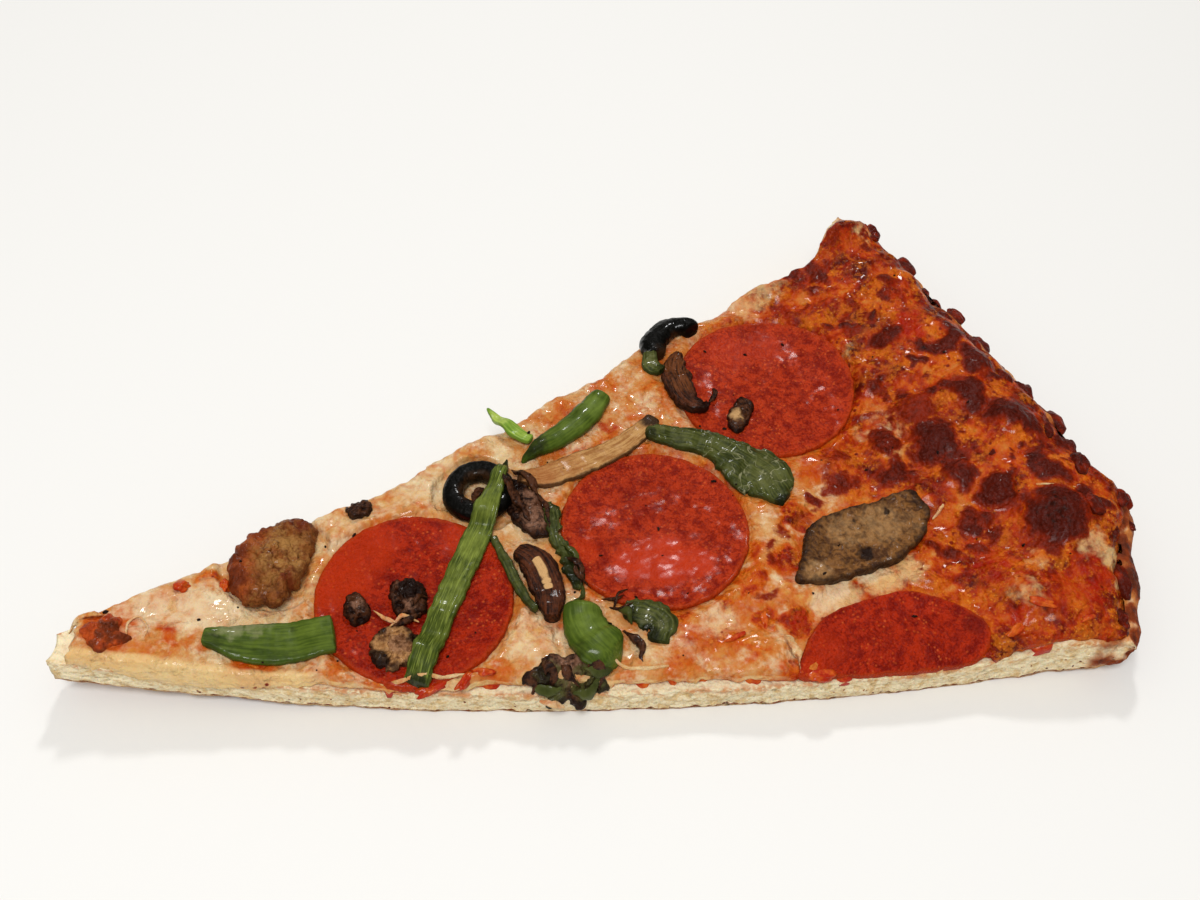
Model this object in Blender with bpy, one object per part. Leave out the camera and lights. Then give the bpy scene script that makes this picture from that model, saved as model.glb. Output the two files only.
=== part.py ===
"""A slice of combination pizza with pepperoni, sausage, green pepper, mushroom and black olive.

The slice is about a tenth of a large round pizza. It rests on the flat middle of its underside, and the
tip and the crust's heel lift a little. All shapes are worked out in slice coordinates, in millimetres:
s runs from the tip along the slice's length, t runs across it, and z runs up.
"""

import math
import random

import bmesh
import bpy
import numpy as np
from mathutils import Vector, geometry, noise
from mathutils.bvhtree import BVHTree

MM = 0.001
GAP = 0.32
LAYER_GAP = 0.45
SKY = 200.0

# The slice in plan.
CENTRE_S = 115.1
CENTRE_T = 1.0
APEX_S = -5.3
APEX_T = 1.6
RIM_RADIUS = 228.5
RIM_ANGLE = 16.7
TIP_REACH_FRONT = 6.6
TIP_REACH_BACK = 13.0

# The slice in height.
DOUGH_HEIGHT = 6.9
SAUCE_HEIGHT = 0.8
FIELD_HEIGHT = 10.6
CRUST_RISE = 7.2
CRUST_START = 46.0
CRUST_RIDGE = 13.0
CRUST_NOSE = 7.5
CHEESE_RIM_INSET = 4.0
SAUCE_RIM_INSET = 15.0
CHEESE_LEAST = 0.5

# How far round a point a layer looks for the highest thing below it.
SAUCE_REACH = 2.0
CHEESE_REACH = 2.8
CHEESE_CLOSE_REACH = 2.1
CLOSE_INSET = 14.0
TIP_LIFT = 6.5
TIP_LIFT_LENGTH = 85.0
HEEL_LIFT = 3.0
HEEL_LIFT_START = 180.0

# Toppings: places along and across, and sizes.
PEPPERONI_NEAR_TIP = (73.0, -6.7)
PEPPERONI_MIDDLE = (126.9, -5.3)
PEPPERONI_FAR = (166.4, 25.2)
PEPPERONI_RADIUS = 20.6
PEPPERONI_FAR_RADIUS = 21.1
PEPPERONI_THICKNESS = 1.9
OLIVE_CENTRE = (92.8, 14.7)
OLIVE_RADIUS = 5.6
OLIVE_WALL = 4.6
OLIVE_HALF_HEIGHT = 2.1

# Blisters on the crust: place along and across, and radius.
BLISTERS = (
    (195, -4.5, 5.5),
    (184, -8, 3.5),
    (185, 0, 4.0),
    (209, -33, 7.0),
    (196, -14.5, 3.5),
    (201.5, -22.5, 3.6),
    (193.5, -26, 3.0),
    (206.5, 4.5, 5.0),
    (212, -6, 4.8),
    (213.5, 10.5, 4.5),
    (212, 19, 3.6),
    (211, 42, 3.3),
    (205, 42, 2.8),
    (197.5, 25.5, 2.6),
    (189, 15.5, 2.6),
    (194.5, 5, 5.0),
    (190, 50, 2.8),
    (197, -48, 6.5),
)

# Burnt knobs on the rim: angle and half width in degrees, and height.
RIM_KNOBS = (
    (-13.2, 1.5, 2.6),
    (-15.9, 1.1, 1.8),
    (-2.4, 1.2, 1.6),
    (7.1, 1.0, 1.4),
    (10.5, 1.2, 2.0),
    (15.4, 1.3, 2.2),
)

# Beds that the toppings press into the cheese: place, radius and depth.
BEDS = (
    (*PEPPERONI_NEAR_TIP, 22.5, 0.9),
    (*PEPPERONI_MIDDLE, 22.5, 1.2),
    (*PEPPERONI_FAR, 23.0, 0.8),
    (162, -53, 22.5, 0.8),
    (*OLIVE_CENTRE, 10.0, 1.2),
    (47.5, 10, 12.0, 1.4),
    (168, -22, 14.0, 0.5),
    (42, -9.5, 9.0, 0.8),
    (106, -27, 9.0, 0.8),
)

LUMP_SEED = 11
LUMPS = 80


def smooth(x):
    """The smooth step from 0 to 1."""
    x = np.clip(x, 0.0, 1.0)
    return x * x * (3.0 - 2.0 * x)


def bell(x, centre, width):
    return np.exp(-(((x - centre) / width) ** 2))


def polar(s, t):
    """Distance from the wedge's apex, and the angle in degrees."""
    along = s - APEX_S
    across = t - APEX_T
    return np.hypot(along, across), np.degrees(np.arctan2(across, along))


def from_polar(reach, angle):
    turn = np.radians(angle)
    return APEX_S + reach * np.cos(turn), APEX_T + reach * np.sin(turn)


def lift(s):
    """How far the underside is off the ground: only at the tip and at the heel."""
    tip = np.clip((TIP_LIFT_LENGTH - s) / TIP_LIFT_LENGTH, 0.0, 1.0)
    heel = np.clip((s - HEEL_LIFT_START) / 45.0, 0.0, 1.5)
    return TIP_LIFT * tip**2 + HEEL_LIFT * heel**2


def front_angle(reach):
    """The front cut bows outwards, most of all near the tip."""
    return -21.7 + 5.0 * np.clip((reach - 40.0) / 170.0, 0.0, 1.0) ** 1.35


def back_angle(reach):
    wave = 0.3 * np.sin(reach * 0.21) * smooth((reach - 20.0) / 30.0)
    swell = 0.9 * bell(reach, 163.0, 20.0) + 1.2 * bell(reach, 25.0, 25.0) - 1.0 * bell(reach, 203.0, 10.0)
    return 15.3 + 0.8 * smooth((reach - 60.0) / 90.0) + 0.6 * smooth((reach - 205.0) / 15.0) + wave + swell


def rim_radius(angle):
    """The rim isn't round: it bulges right of the middle and pulls in at both corners."""
    radius = RIM_RADIUS + 8.6 * bell(angle, -8.4, 3.6) + 1.5 * bell(angle, -0.3, 2.6)
    radius = radius - 3.4 * bell(angle, 9.3, 3.6)
    radius = radius - 6.5 * np.clip((angle - 13.0) / 3.7, 0.0, 2.0) ** 2
    radius = radius - 2.4 * np.clip((-13.0 - angle) / 3.7, 0.0, 2.0) ** 2
    for place, width, height in RIM_KNOBS:
        radius = radius + height * bell(angle, place, width)
    return radius


def crust_rise(angle):
    """The ridge is highest at the back corner and low at the front corner."""
    knob = 3.8 * bell(angle, 16.4, 1.3)
    return CRUST_RISE - 4.4 * smooth((-angle - 6.0) / 10.7) + knob


def base_height(s, t):
    """The smooth top of the slice, without lumps and without the lift."""
    reach, angle = polar(s, t)
    angle = np.clip(angle, -RIM_ANGLE, RIM_ANGLE)
    inset = rim_radius(angle) - reach
    rise = crust_rise(angle)
    slope = FIELD_HEIGHT + rise * smooth((CRUST_START - inset) / (CRUST_START - CRUST_RIDGE))
    round_off = np.clip((CRUST_RIDGE - inset) / CRUST_RIDGE, 0.0, 1.0)
    drop = (FIELD_HEIGHT + rise - CRUST_NOSE) * (1.0 - np.sqrt(1.0 - round_off**2))
    return slope - drop


def rim_inset(s, t):
    reach, angle = polar(s, t)
    return rim_radius(np.clip(angle, -RIM_ANGLE, RIM_ANGLE)) - reach


def bed_cover(s, t):
    """1 under a topping and 0 away from it."""
    cover = np.zeros_like(np.asarray(s, float))
    for place_s, place_t, radius, _ in BEDS:
        distance = np.hypot(s - place_s, t - place_t)
        cover = np.maximum(cover, smooth((radius + 1.5 - distance) / 3.0))
    return cover


def bed_depth(s, t):
    depth = np.zeros_like(np.asarray(s, float))
    for place_s, place_t, radius, deep in BEDS:
        distance = np.hypot(s - place_s, t - place_t)
        depth = np.maximum(depth, deep * smooth((radius + 1.5 - distance) / 3.0))
    return depth


def lumps():
    """Soft mounds of melted cheese, scattered over the slice."""
    draw = random.Random(LUMP_SEED)
    found = []
    for _ in range(LUMPS):
        reach = 225.0 * math.sqrt(draw.random())
        place_s, place_t = from_polar(reach, draw.uniform(-19.0, 17.0))
        found.append((place_s, place_t, draw.uniform(4.5, 9.0), draw.uniform(0.4, 1.1)))
    return found


MOUNDS = lumps()


def cheese_top(s, t):
    relief = 0.35 * np.sin(s * 0.23 + 1.0) * np.cos(t * 0.31) + 0.25 * np.sin(t * 0.55 + s * 0.12)
    for place_s, place_t, radius, height in MOUNDS:
        near = np.clip(1.0 - ((s - place_s) ** 2 + (t - place_t) ** 2) / radius**2, 0.0, 1.0)
        relief = relief + height * near**2
    relief = relief * (1.0 - bed_cover(s, t))
    for place_s, place_t, radius in BLISTERS:
        near = np.clip(1.0 - ((s - place_s) ** 2 + (t - place_t) ** 2) / (1.25 * radius) ** 2, 0.0, 1.0)
        relief = relief + 0.34 * radius * near**1.5
    return base_height(s, t) + relief - bed_depth(s, t) + lift(s)


def dough_top(s, t):
    """Under the cheese the dough lies lower, and at the rim it comes up to the surface."""
    inset = rim_inset(s, t)
    field = FIELD_HEIGHT - DOUGH_HEIGHT
    recess = field - 1.7 * smooth((26.0 - inset) / 12.0) - (field - 1.7) * smooth((6.5 - inset) / 4.0)
    return base_height(s, t) - recess + lift(s)


class Ground:
    """What lies below a topping: the highest of the pieces that are there already."""

    def __init__(self):
        self.trees = []

    def add(self, verts, faces):
        points = [Vector(v) for v in verts]
        self.trees.append(BVHTree.FromPolygons(points, faces))

    def at(self, s, t):
        start = Vector((s, t, SKY))
        hits = [tree.ray_cast(start, Vector((0.0, 0.0, -1.0)))[0] for tree in self.trees]
        heights = [hit.z for hit in hits if hit is not None]
        return max(heights) if heights else None

    def around(self, s, t, reach):
        """The highest point within this reach, or None off the slice."""
        found = [self.at(s, t)]
        for step in range(8):
            turn = step * math.pi / 4.0
            found.append(self.at(s + reach * math.cos(turn), t + reach * math.sin(turn)))
        found = [height for height in found if height is not None]
        return max(found) if found else None

    def under(self, points, reach):
        """Heights under many points. A point off the slice takes that of the nearest one on it."""
        heights = [self.around(s, t, reach) for s, t in points]
        known = [i for i, height in enumerate(heights) if height is not None]
        if not known:
            return np.full(len(points), FIELD_HEIGHT)
        spots = np.array(points, float)
        for i, height in enumerate(heights):
            if height is None:
                gaps = np.hypot(*(spots[known] - spots[i]).T)
                heights[i] = heights[known[int(np.argmin(gaps))]]
        return np.array(heights, float)


GROUND = Ground()


def material(name, colour, roughness):
    made = bpy.data.materials.new(name)
    made.use_nodes = True
    shader = made.node_tree.nodes["Principled BSDF"]
    shader.inputs["Base Color"].default_value = (*colour, 1.0)
    shader.inputs["Roughness"].default_value = roughness
    shader.inputs["Metallic"].default_value = 0.0
    return made


def add_object(name, verts, faces, look, carries=True):
    """Makes the object from slice coordinates. What carries others joins the ground."""
    mesh = bpy.data.meshes.new(name)
    placed = [((s - CENTRE_S) * MM, (t - CENTRE_T) * MM, z * MM) for s, t, z in verts]
    mesh.from_pydata(placed, [], faces)
    work = bmesh.new()
    work.from_mesh(mesh)
    bmesh.ops.recalc_face_normals(work, faces=work.faces)
    bmesh.ops.triangulate(work, faces=work.faces)
    work.to_mesh(mesh)
    work.free()
    mesh.shade_smooth()
    mesh.set_sharp_from_angle(angle=math.radians(50))
    mesh.materials.append(look)
    made = bpy.data.objects.new(name, mesh)
    bpy.context.scene.collection.objects.link(made)
    if carries:
        GROUND.add([tuple(v) for v in verts], [list(face) for face in faces])
    return made


def inside(outline, s, t):
    """Whether each point lies within the closed outline."""
    within = np.zeros(len(s), bool)
    ahead = np.roll(outline, -1, axis=0)
    for (s0, t0), (s1, t1) in zip(outline, ahead):
        crosses = (t0 > t) != (t1 > t)
        slope = (s1 - s0) / (t1 - t0) if t1 != t0 else 0.0
        within ^= crosses & (s < s0 + slope * (t - t0))
    return within


def inward(outline, distance):
    """The counterclockwise outline, moved inwards."""
    along = np.roll(outline, -1, axis=0) - np.roll(outline, 1, axis=0)
    along /= np.linalg.norm(along, axis=1)[:, None]
    return outline + distance * np.stack([-along[:, 1], along[:, 0]], axis=1)


def filling(outline, spacing, start_s, end_s, keep):
    """Points on a triangular grid inside the outline, between two places along the slice."""
    rows = np.arange(start_s, end_s, spacing * math.sqrt(3.0) / 2.0)
    low, high = outline[:, 1].min(), outline[:, 1].max()
    found = []
    for number, row in enumerate(rows):
        places = np.arange(low + (number % 2) * spacing / 2.0, high, spacing)
        found.append(np.stack([np.full(len(places), row), places], axis=1))
    points = np.concatenate(found)
    points = points[inside(outline, points[:, 0], points[:, 1])]
    gaps = np.hypot(
        points[:, None, 0] - outline[None, :, 0], points[:, None, 1] - outline[None, :, 1]
    ).min(axis=1)
    return points[gaps > keep]


def triangulated(outline, extra):
    """Triangles over the outline and the points inside it; the outline's points come first."""
    points = [Vector(p) for p in np.concatenate([outline, extra])]
    count = len(outline)
    edges = [(i, (i + 1) % count) for i in range(count)]
    result = geometry.delaunay_2d_cdt(points, edges, [], 1, 1e-6)
    coords, faces, origins = result[0], result[2], result[3]
    order = [found[0] for found in origins]
    spots = np.zeros((len(points), 2))
    for coord, origin in zip(coords, order):
        spots[origin] = coord
    return spots, [[order[i] for i in face] for face in faces]


def layer(name, outline, top, bottom, look, grids, bottom_grids, rounding):
    """A closed slab between two surfaces over one outline, with its top edge rounded."""
    ring = inward(outline, 1.1)
    fill = [filling(outline, spacing, start, end, 1.1 + 0.55 * spacing) for spacing, start, end in grids]
    upper, upper_faces = triangulated(outline, np.concatenate([ring] + fill))
    sparse = [filling(outline, spacing, start, end, 0.6 * spacing) for spacing, start, end in bottom_grids]
    lower, lower_faces = triangulated(outline, np.concatenate(sparse))
    count = len(outline)
    upper_z = top(upper[:, 0], upper[:, 1])
    lower_z = bottom(lower)
    upper_z[:count] = np.maximum(upper_z[:count] - rounding, lower_z[:count] + 0.4)
    verts = [(*p, z) for p, z in zip(upper, upper_z)] + [(*p, z) for p, z in zip(lower, lower_z)]
    start = len(upper)
    faces = list(upper_faces)
    faces += [[start + i for i in reversed(face)] for face in lower_faces]
    for i in range(count):
        j = (i + 1) % count
        faces.append([start + i, start + j, j, i])
    return add_object(name, verts, faces, look)


def slice_outline(inset_cut, inset_rim, inset_tip, spacing, waver):
    """The slice's outline, counterclockwise from the tip along the front cut, inset from its cuts and rim."""
    def radius_at(angle):
        return rim_radius(angle) - inset_rim(angle)

    def cut(angle_of, side, first, last):
        reach = np.linspace(first, last, int((last - first) / spacing))
        s, t = from_polar(reach, angle_of(reach))
        edge = np.stack([s, t], axis=1)
        along = np.gradient(edge, axis=0)
        along /= np.linalg.norm(along, axis=1)[:, None]
        wave = waver * (0.5 + 0.5 * np.sin(reach * 0.37 + side) * np.sin(reach * 0.13 + 2.0 * side))
        return edge + side * (inset_cut + wave)[:, None] * np.stack([-along[:, 1], along[:, 0]], axis=1)

    rim_angles = np.linspace(-RIM_ANGLE, RIM_ANGLE + 0.1, int(118.0 / spacing))
    rim_angles = rim_angles[2:-2]
    rim = np.stack(from_polar(radius_at(rim_angles), rim_angles), axis=1)
    front = cut(front_angle, 1.0, TIP_REACH_FRONT + inset_tip, radius_at(-RIM_ANGLE) - 2.5)
    back = cut(back_angle, -1.0, TIP_REACH_BACK + inset_tip, radius_at(RIM_ANGLE) - 2.5)
    return np.concatenate([front, rim, back[::-1]])


def dough():
    """A flat base that swells into the crust, with two cut faces and a blunt tip."""
    columns = 32
    field_steps = np.linspace(0.0, 1.0, 10)
    crust_steps = np.linspace(0.0, 1.0, 10)[1:]
    nose_insets = (10.0, 7.0, 4.5, 2.5, 0.9)
    bottom_round = 6.0
    grid_top = []
    grid_bottom = []
    noses = []
    for across in np.linspace(0.0, 1.0, columns + 1):
        angle_rim = -RIM_ANGLE + across * (2.0 * RIM_ANGLE)
        radius = float(rim_radius(angle_rim))
        start = TIP_REACH_FRONT + (TIP_REACH_BACK - TIP_REACH_FRONT) * across
        reaches = list(start + (radius - 52.0 - start) * field_steps)
        reaches += list(radius - 52.0 + (52.0 - CRUST_RIDGE) * crust_steps)
        reaches += [radius - inset for inset in nose_insets]
        top = []
        bottom = []
        for reach in reaches:
            angle = (1.0 - across) * front_angle(reach) + across * back_angle(reach)
            s, t = from_polar(reach, angle)
            under = np.clip((bottom_round - (radius - reach)) / bottom_round, 0.0, 1.0)
            raised = CRUST_NOSE * (1.0 - math.sqrt(1.0 - under**2))
            top.append((s, t, float(dough_top(s, t))))
            bottom.append((s, t, float(lift(s)) + raised))
        s, t = from_polar(radius, angle_rim)
        noses.append((s, t, CRUST_NOSE + float(lift(s))))
        grid_top.append(top)
        grid_bottom.append(bottom)
    steps = len(grid_top[0])
    stride = 2 * steps + 1
    verts = []
    for top, bottom, nose in zip(grid_top, grid_bottom, noses):
        verts += top + bottom + [nose]
    faces = []
    for column in range(columns):
        here = column * stride
        there = here + stride
        for i in range(steps - 1):
            faces.append([here + i, here + i + 1, there + i + 1, there + i])
            faces.append([here + steps + i + 1, here + steps + i, there + steps + i, there + steps + i + 1])
        last = steps - 1
        faces.append([here + last, here + 2 * steps, there + 2 * steps, there + last])
        faces.append([here + 2 * steps, here + steps + last, there + steps + last, there + 2 * steps])
        faces.append([here, there, there + steps, here + steps])
    for base in (0, columns * stride):
        for i in range(steps - 1):
            faces.append([base + i, base + steps + i, base + steps + i + 1, base + i + 1])
        faces.append([base + steps - 1, base + 2 * steps - 1, base + 2 * steps])
    return add_object("dough", verts, faces, material("baked_dough", (0.80, 0.60, 0.36), 0.75))


def sauce():
    def rim_inset_at(angle):
        return np.full_like(angle, SAUCE_RIM_INSET)

    outline = slice_outline(0.7, rim_inset_at, 2.0, 8.0, 0.8)

    def bottom(points):
        return GROUND.under(points, SAUCE_REACH) + LAYER_GAP

    def top(s, t):
        return bottom(np.stack([s, t], axis=1)) + SAUCE_HEIGHT

    look = material("tomato_sauce", (0.55, 0.10, 0.03), 0.45)
    grids = ((10.0, 0.0, 165.0), (7.0, 165.0, 240.0))
    return layer("tomato_sauce", outline, top, bottom, look, grids, grids, 0.2)


def cheese():
    def rim_inset_at(angle):
        return CHEESE_RIM_INSET + 4.5 * bell(angle, -11.0, 3.5) + 0.8 * np.sin(angle * 1.9)

    outline = slice_outline(0.3, rim_inset_at, 1.4, 3.0, 0.7)

    def bottom(points):
        """On the steep crust it follows what is below closely, and on the flat it clears every ripple."""
        steep = rim_inset(points[:, 0], points[:, 1]) < CLOSE_INSET
        close = GROUND.under(points, CHEESE_CLOSE_REACH)
        return np.where(steep, close, GROUND.under(points, CHEESE_REACH)) + LAYER_GAP

    def top(s, t):
        floor = GROUND.under(np.stack([s, t], axis=1), CHEESE_REACH) + LAYER_GAP + CHEESE_LEAST
        return np.maximum(cheese_top(s, t), floor)

    look = material("melted_cheese", (0.84, 0.52, 0.26), 0.35)
    grids = ((3.5, 0.0, 172.0), (2.6, 172.0, 240.0))
    bottom_grids = ((9.0, 0.0, 170.0), (4.5, 170.0, 240.0))
    return layer("melted_cheese", outline, top, bottom, look, grids, bottom_grids, 0.7)


def closed_curve(points, count):
    """A smooth closed curve through the points, at equal steps, counterclockwise."""
    knots = np.array(points, float)
    area = np.sum(knots[:, 0] * np.roll(knots[:, 1], -1) - np.roll(knots[:, 0], -1) * knots[:, 1])
    if area < 0.0:
        knots = knots[::-1]
    dense = spline(np.concatenate([knots[-1:], knots, knots[:2]]), 12)
    return resampled(np.concatenate([dense, dense[:1]]), count + 1)[:-1]


def spline(knots, per_span):
    """A curve through all but the first and the last knot, with Catmull and Rom's weights."""
    found = []
    for k in range(1, len(knots) - 2):
        a, b, c, d = knots[k - 1 : k + 3]
        for u in np.arange(per_span) / per_span:
            found.append(
                b + 0.5 * u * (c - a + u * (2 * a - 5 * b + 4 * c - d + u * (3 * (b - c) + d - a)))
            )
    return np.array(found)


def open_curve(points, count):
    knots = np.array(points, float)
    first = 2.0 * knots[0] - knots[1]
    last = 2.0 * knots[-1] - knots[-2]
    dense = spline(np.concatenate([first[None], knots, last[None]]), 12)
    return resampled(np.concatenate([dense, knots[-1:]]), count)


def resampled(curve, count):
    steps = np.linalg.norm(np.diff(curve, axis=0), axis=1)
    length = np.concatenate([[0.0], np.cumsum(steps)])
    wanted = np.linspace(0.0, length[-1], count)
    return np.stack([np.interp(wanted, length, curve[:, k]) for k in range(curve.shape[1])], axis=1)


def plane_over(points, heights):
    """The flat sheet that fits the heights best, raised to clear them all."""
    terms = np.column_stack([points, np.ones(len(points))])
    fit = np.linalg.lstsq(terms, heights, rcond=None)[0]
    above = (heights - terms @ fit).max()

    def height(s, t):
        return fit[0] * s + fit[1] * t + fit[2] + above

    return height


def chip(name, points, thickness, look, count=20, dome=0.0, stiff=False, rough=0.0, tilt=(0.0, 0.0), sink=0.0):
    """A flat or domed piece with this outline, which lies on what is below it."""
    outline = closed_curve(points, count)
    centre = outline.mean(axis=0)
    rings = ((0.45, 0.0), (0.86, 0.0), (1.0, 0.42), (0.93, 0.92), (0.68, 1.0), (0.34, 1.0))
    spots = np.concatenate([centre + scale * (outline - centre) for scale, _ in rings] + [centre[None]])
    heights = GROUND.under(spots, 1.6) + GAP
    if stiff:
        heights = plane_over(spots, heights)(spots[:, 0], spots[:, 1])
    lean = (spots - centre) @ np.array(tilt)
    heights = heights + lean - lean.min() - sink
    verts = []
    for number, (scale, level) in enumerate(rings):
        for k in range(count):
            index = number * count + k
            s, t = spots[index]
            bumps = rough * noise.noise(Vector((s * 0.33, t * 0.33, number * 3.1))) if level > 0.0 else 0.0
            rise = thickness * level + dome * max(0.0, 1.0 - scale**2) * (level > 0.0) + bumps
            verts.append((s, t, heights[index] + rise))
    top = heights[-1] + thickness + dome + rough * noise.noise(Vector((*centre, 7.0)))
    verts.append((*centre, top))
    verts.append((*centre, heights[-1]))
    faces = []
    for number in range(len(rings) - 1):
        for k in range(count):
            here = number * count + k
            there = number * count + (k + 1) % count
            faces.append([here, there, there + count, here + count])
    last = (len(rings) - 1) * count
    for k in range(count):
        faces.append([last + k, last + (k + 1) % count, len(verts) - 2])
        faces.append([(k + 1) % count, k, len(verts) - 1])
    return add_object(name, verts, faces, look)


def strip(name, axis, widths, thickness, look, stations=12, sides=8, rises=(0.0,), fold=0.0):
    """A strip swept along its axis. Widths and rises are spread evenly along it.

    The fold bends the section into a shallow roof.
    """
    curve = open_curve(axis, stations)
    along = np.gradient(curve, axis=0)
    along /= np.linalg.norm(along, axis=1)[:, None]
    across = np.stack([-along[:, 1], along[:, 0]], axis=1)
    where = np.linspace(0.0, 1.0, stations)
    width = np.interp(where, np.linspace(0.0, 1.0, len(widths)), widths)
    rise = np.interp(where, np.linspace(0.0, 1.0, len(rises)), rises)
    floor = np.full(stations, -SKY)
    for side in (-0.5, -0.25, 0.0, 0.25, 0.5):
        floor = np.maximum(floor, GROUND.under(curve + side * across * width[:, None], 1.5))
    for _ in range(3):
        middle = (np.roll(floor, 1) + np.roll(floor, -1)) / 2.0
        middle[0] = floor[0]
        middle[-1] = floor[-1]
        floor = np.maximum(floor, middle)
    verts = []
    for i in range(stations):
        for k in range(sides):
            turn = 2.0 * math.pi * k / sides
            sideways = 0.5 * width[i] * math.cos(turn)
            level = 0.5 * thickness * min(1.0, width[i] / thickness) * (1.0 + math.sin(turn))
            roof = fold * (1.0 - abs(math.cos(turn))) * width[i]
            s, t = curve[i] + sideways * across[i]
            verts.append((s, t, floor[i] + GAP + rise[i] + level + roof))
    faces = []
    for i in range(stations - 1):
        for k in range(sides):
            here = i * sides + k
            there = i * sides + (k + 1) % sides
            faces.append([here, there, there + sides, here + sides])
    faces.append(list(range(sides)))
    faces.append([(stations - 1) * sides + k for k in reversed(range(sides))])
    return add_object(name, verts, faces, look)


def circle(centre_s, centre_t, radius, count=10):
    turns = np.linspace(0.0, 2.0 * math.pi, count, endpoint=False)
    return [(centre_s + radius * math.cos(turn), centre_t + radius * math.sin(turn)) for turn in turns]


def pepperoni():
    """Three whole rounds and one that the front cut has halved."""
    bright = material("pepperoni_bright", (0.58, 0.07, 0.03), 0.38)
    deep = material("pepperoni_deep", (0.42, 0.05, 0.02), 0.35)
    near = circle(*PEPPERONI_NEAR_TIP, PEPPERONI_RADIUS)
    chip("pepperoni_near_tip", near, PEPPERONI_THICKNESS, bright, count=32)
    middle = circle(*PEPPERONI_MIDDLE, PEPPERONI_RADIUS)
    chip("pepperoni_middle", middle, PEPPERONI_THICKNESS, deep, count=32, dome=-0.6)
    far = circle(*PEPPERONI_FAR, PEPPERONI_FAR_RADIUS)
    chip("pepperoni_far", far, PEPPERONI_THICKNESS, deep, count=32)
    half = (
        (142.5, -47.6),
        (145, -43),
        (152.5, -37),
        (163, -35.7),
        (173, -36.5),
        (181, -42),
        (183.5, -49),
        (180, -53.5),
        (172, -53),
        (160, -50.6),
        (150, -48.5),
    )
    chip("pepperoni_cut", half, PEPPERONI_THICKNESS, bright, count=28)


def sausage():
    look = material("italian_sausage", (0.30, 0.12, 0.05), 0.6)
    chunk = ((37.3, 7), (39.5, 14), (46, 18.5), (54, 19.3), (57, 15), (53, 6), (47, -1), (40, 0.6))
    chip("sausage_chunk", chunk, 4.6, look, count=22, dome=1.6, stiff=True, rough=1.4, sink=0.4)
    crumb = ((8.9, 2.6), (13, 3), (15.8, 0.5), (14.5, -4), (10.5, -3.6), (8.6, -0.6))
    chip("sausage_crumb", crumb, 2.2, look, count=14, dome=1.0, rough=0.7)


def mushrooms():
    """Roasted slices, curls and scraps."""
    grey = material("mushroom_grey", (0.19, 0.12, 0.07), 0.6)
    dark = material("mushroom_dark", (0.06, 0.025, 0.012), 0.5)
    tan = material("mushroom_tan", (0.52, 0.30, 0.13), 0.55)
    slab = (
        (151, -28),
        (156.2, -19.6),
        (162.6, -14.1),
        (173, -14.2),
        (186, -15.6),
        (185.6, -20.7),
        (180.5, -26.5),
        (171.7, -29.6),
        (160, -30.3),
    )
    chip("mushroom_slab", slab, 2.6, grey, count=26, stiff=True, rough=0.6)
    mass = ((99, 17), (103, 15), (105, 8), (104.5, 0), (100.5, 0.5), (98, 7))
    chip("mushroom_grey_piece", mass, 2.0, grey, count=18, rough=0.8)
    front = ((89, -31), (95.7, -29), (103, -31), (106, -33.5), (103.5, -38), (94, -35.5))
    chip("mushroom_front_piece", front, 1.8, grey, count=18, rough=0.7)
    edge = ((64.3, 19), (66.1, 20.8), (69, 20.8), (69.5, 18.6), (68.3, 16.4), (65.4, 16.6))
    chip("mushroom_edge_scrap", edge, 1.6, dark, count=12, rough=0.5)
    left = ((58.5, -6), (60, -3.2), (62.5, -4.5), (63, -9), (59.5, -9.8))
    chip("mushroom_scrap_left", left, 1.5, dark, count=12, rough=0.6)
    upper = ((68.2, -6), (70.5, -3), (74.5, -5), (74, -11), (69.5, -11.3))
    chip("mushroom_scrap_upper", upper, 2.0, dark, count=14, rough=0.8)
    lower = ((61.5, -17), (64.5, -13.5), (69.5, -15.2), (70.5, -20.5), (65, -22), (62, -20.5))
    chip("mushroom_scrap_lower", lower, 1.8, tan, count=14, rough=0.8)
    far = ((154, 13.8), (158.5, 16.5), (161, 20.5), (160, 23), (156.5, 21.3), (154, 18))
    chip("mushroom_chip_far", far, 1.3, dark, count=14, rough=0.5)


def mushroom_strips():
    dark = material("mushroom_curl", (0.07, 0.03, 0.015), 0.45)
    tan = material("mushroom_stem", (0.55, 0.33, 0.16), 0.55)
    stem = ((102, 15.4), (109.3, 14.7), (118, 15.9), (127, 17.6), (134, 20.9), (137.7, 23.2))
    strip("mushroom_stem_slice", stem, (3.0, 6.0, 6.0, 5.0, 4.5, 3.5), 2.0, tan, stations=12)
    cap = ((96, -3), (98.6, -7), (99.6, -12), (99.2, -17), (98, -21))
    strip("mushroom_cap_curl", cap, (3.0, 7.0, 7.6, 6.5, 3.0), 3.4, dark, stations=11)
    curl = ((151, 41), (147.5, 36), (146.3, 30), (147, 25), (150.3, 22.8))
    strip("mushroom_far_curl", curl, (3.5, 6.0, 7.0, 6.0, 3.5), 3.2, dark, stations=11)


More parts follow.
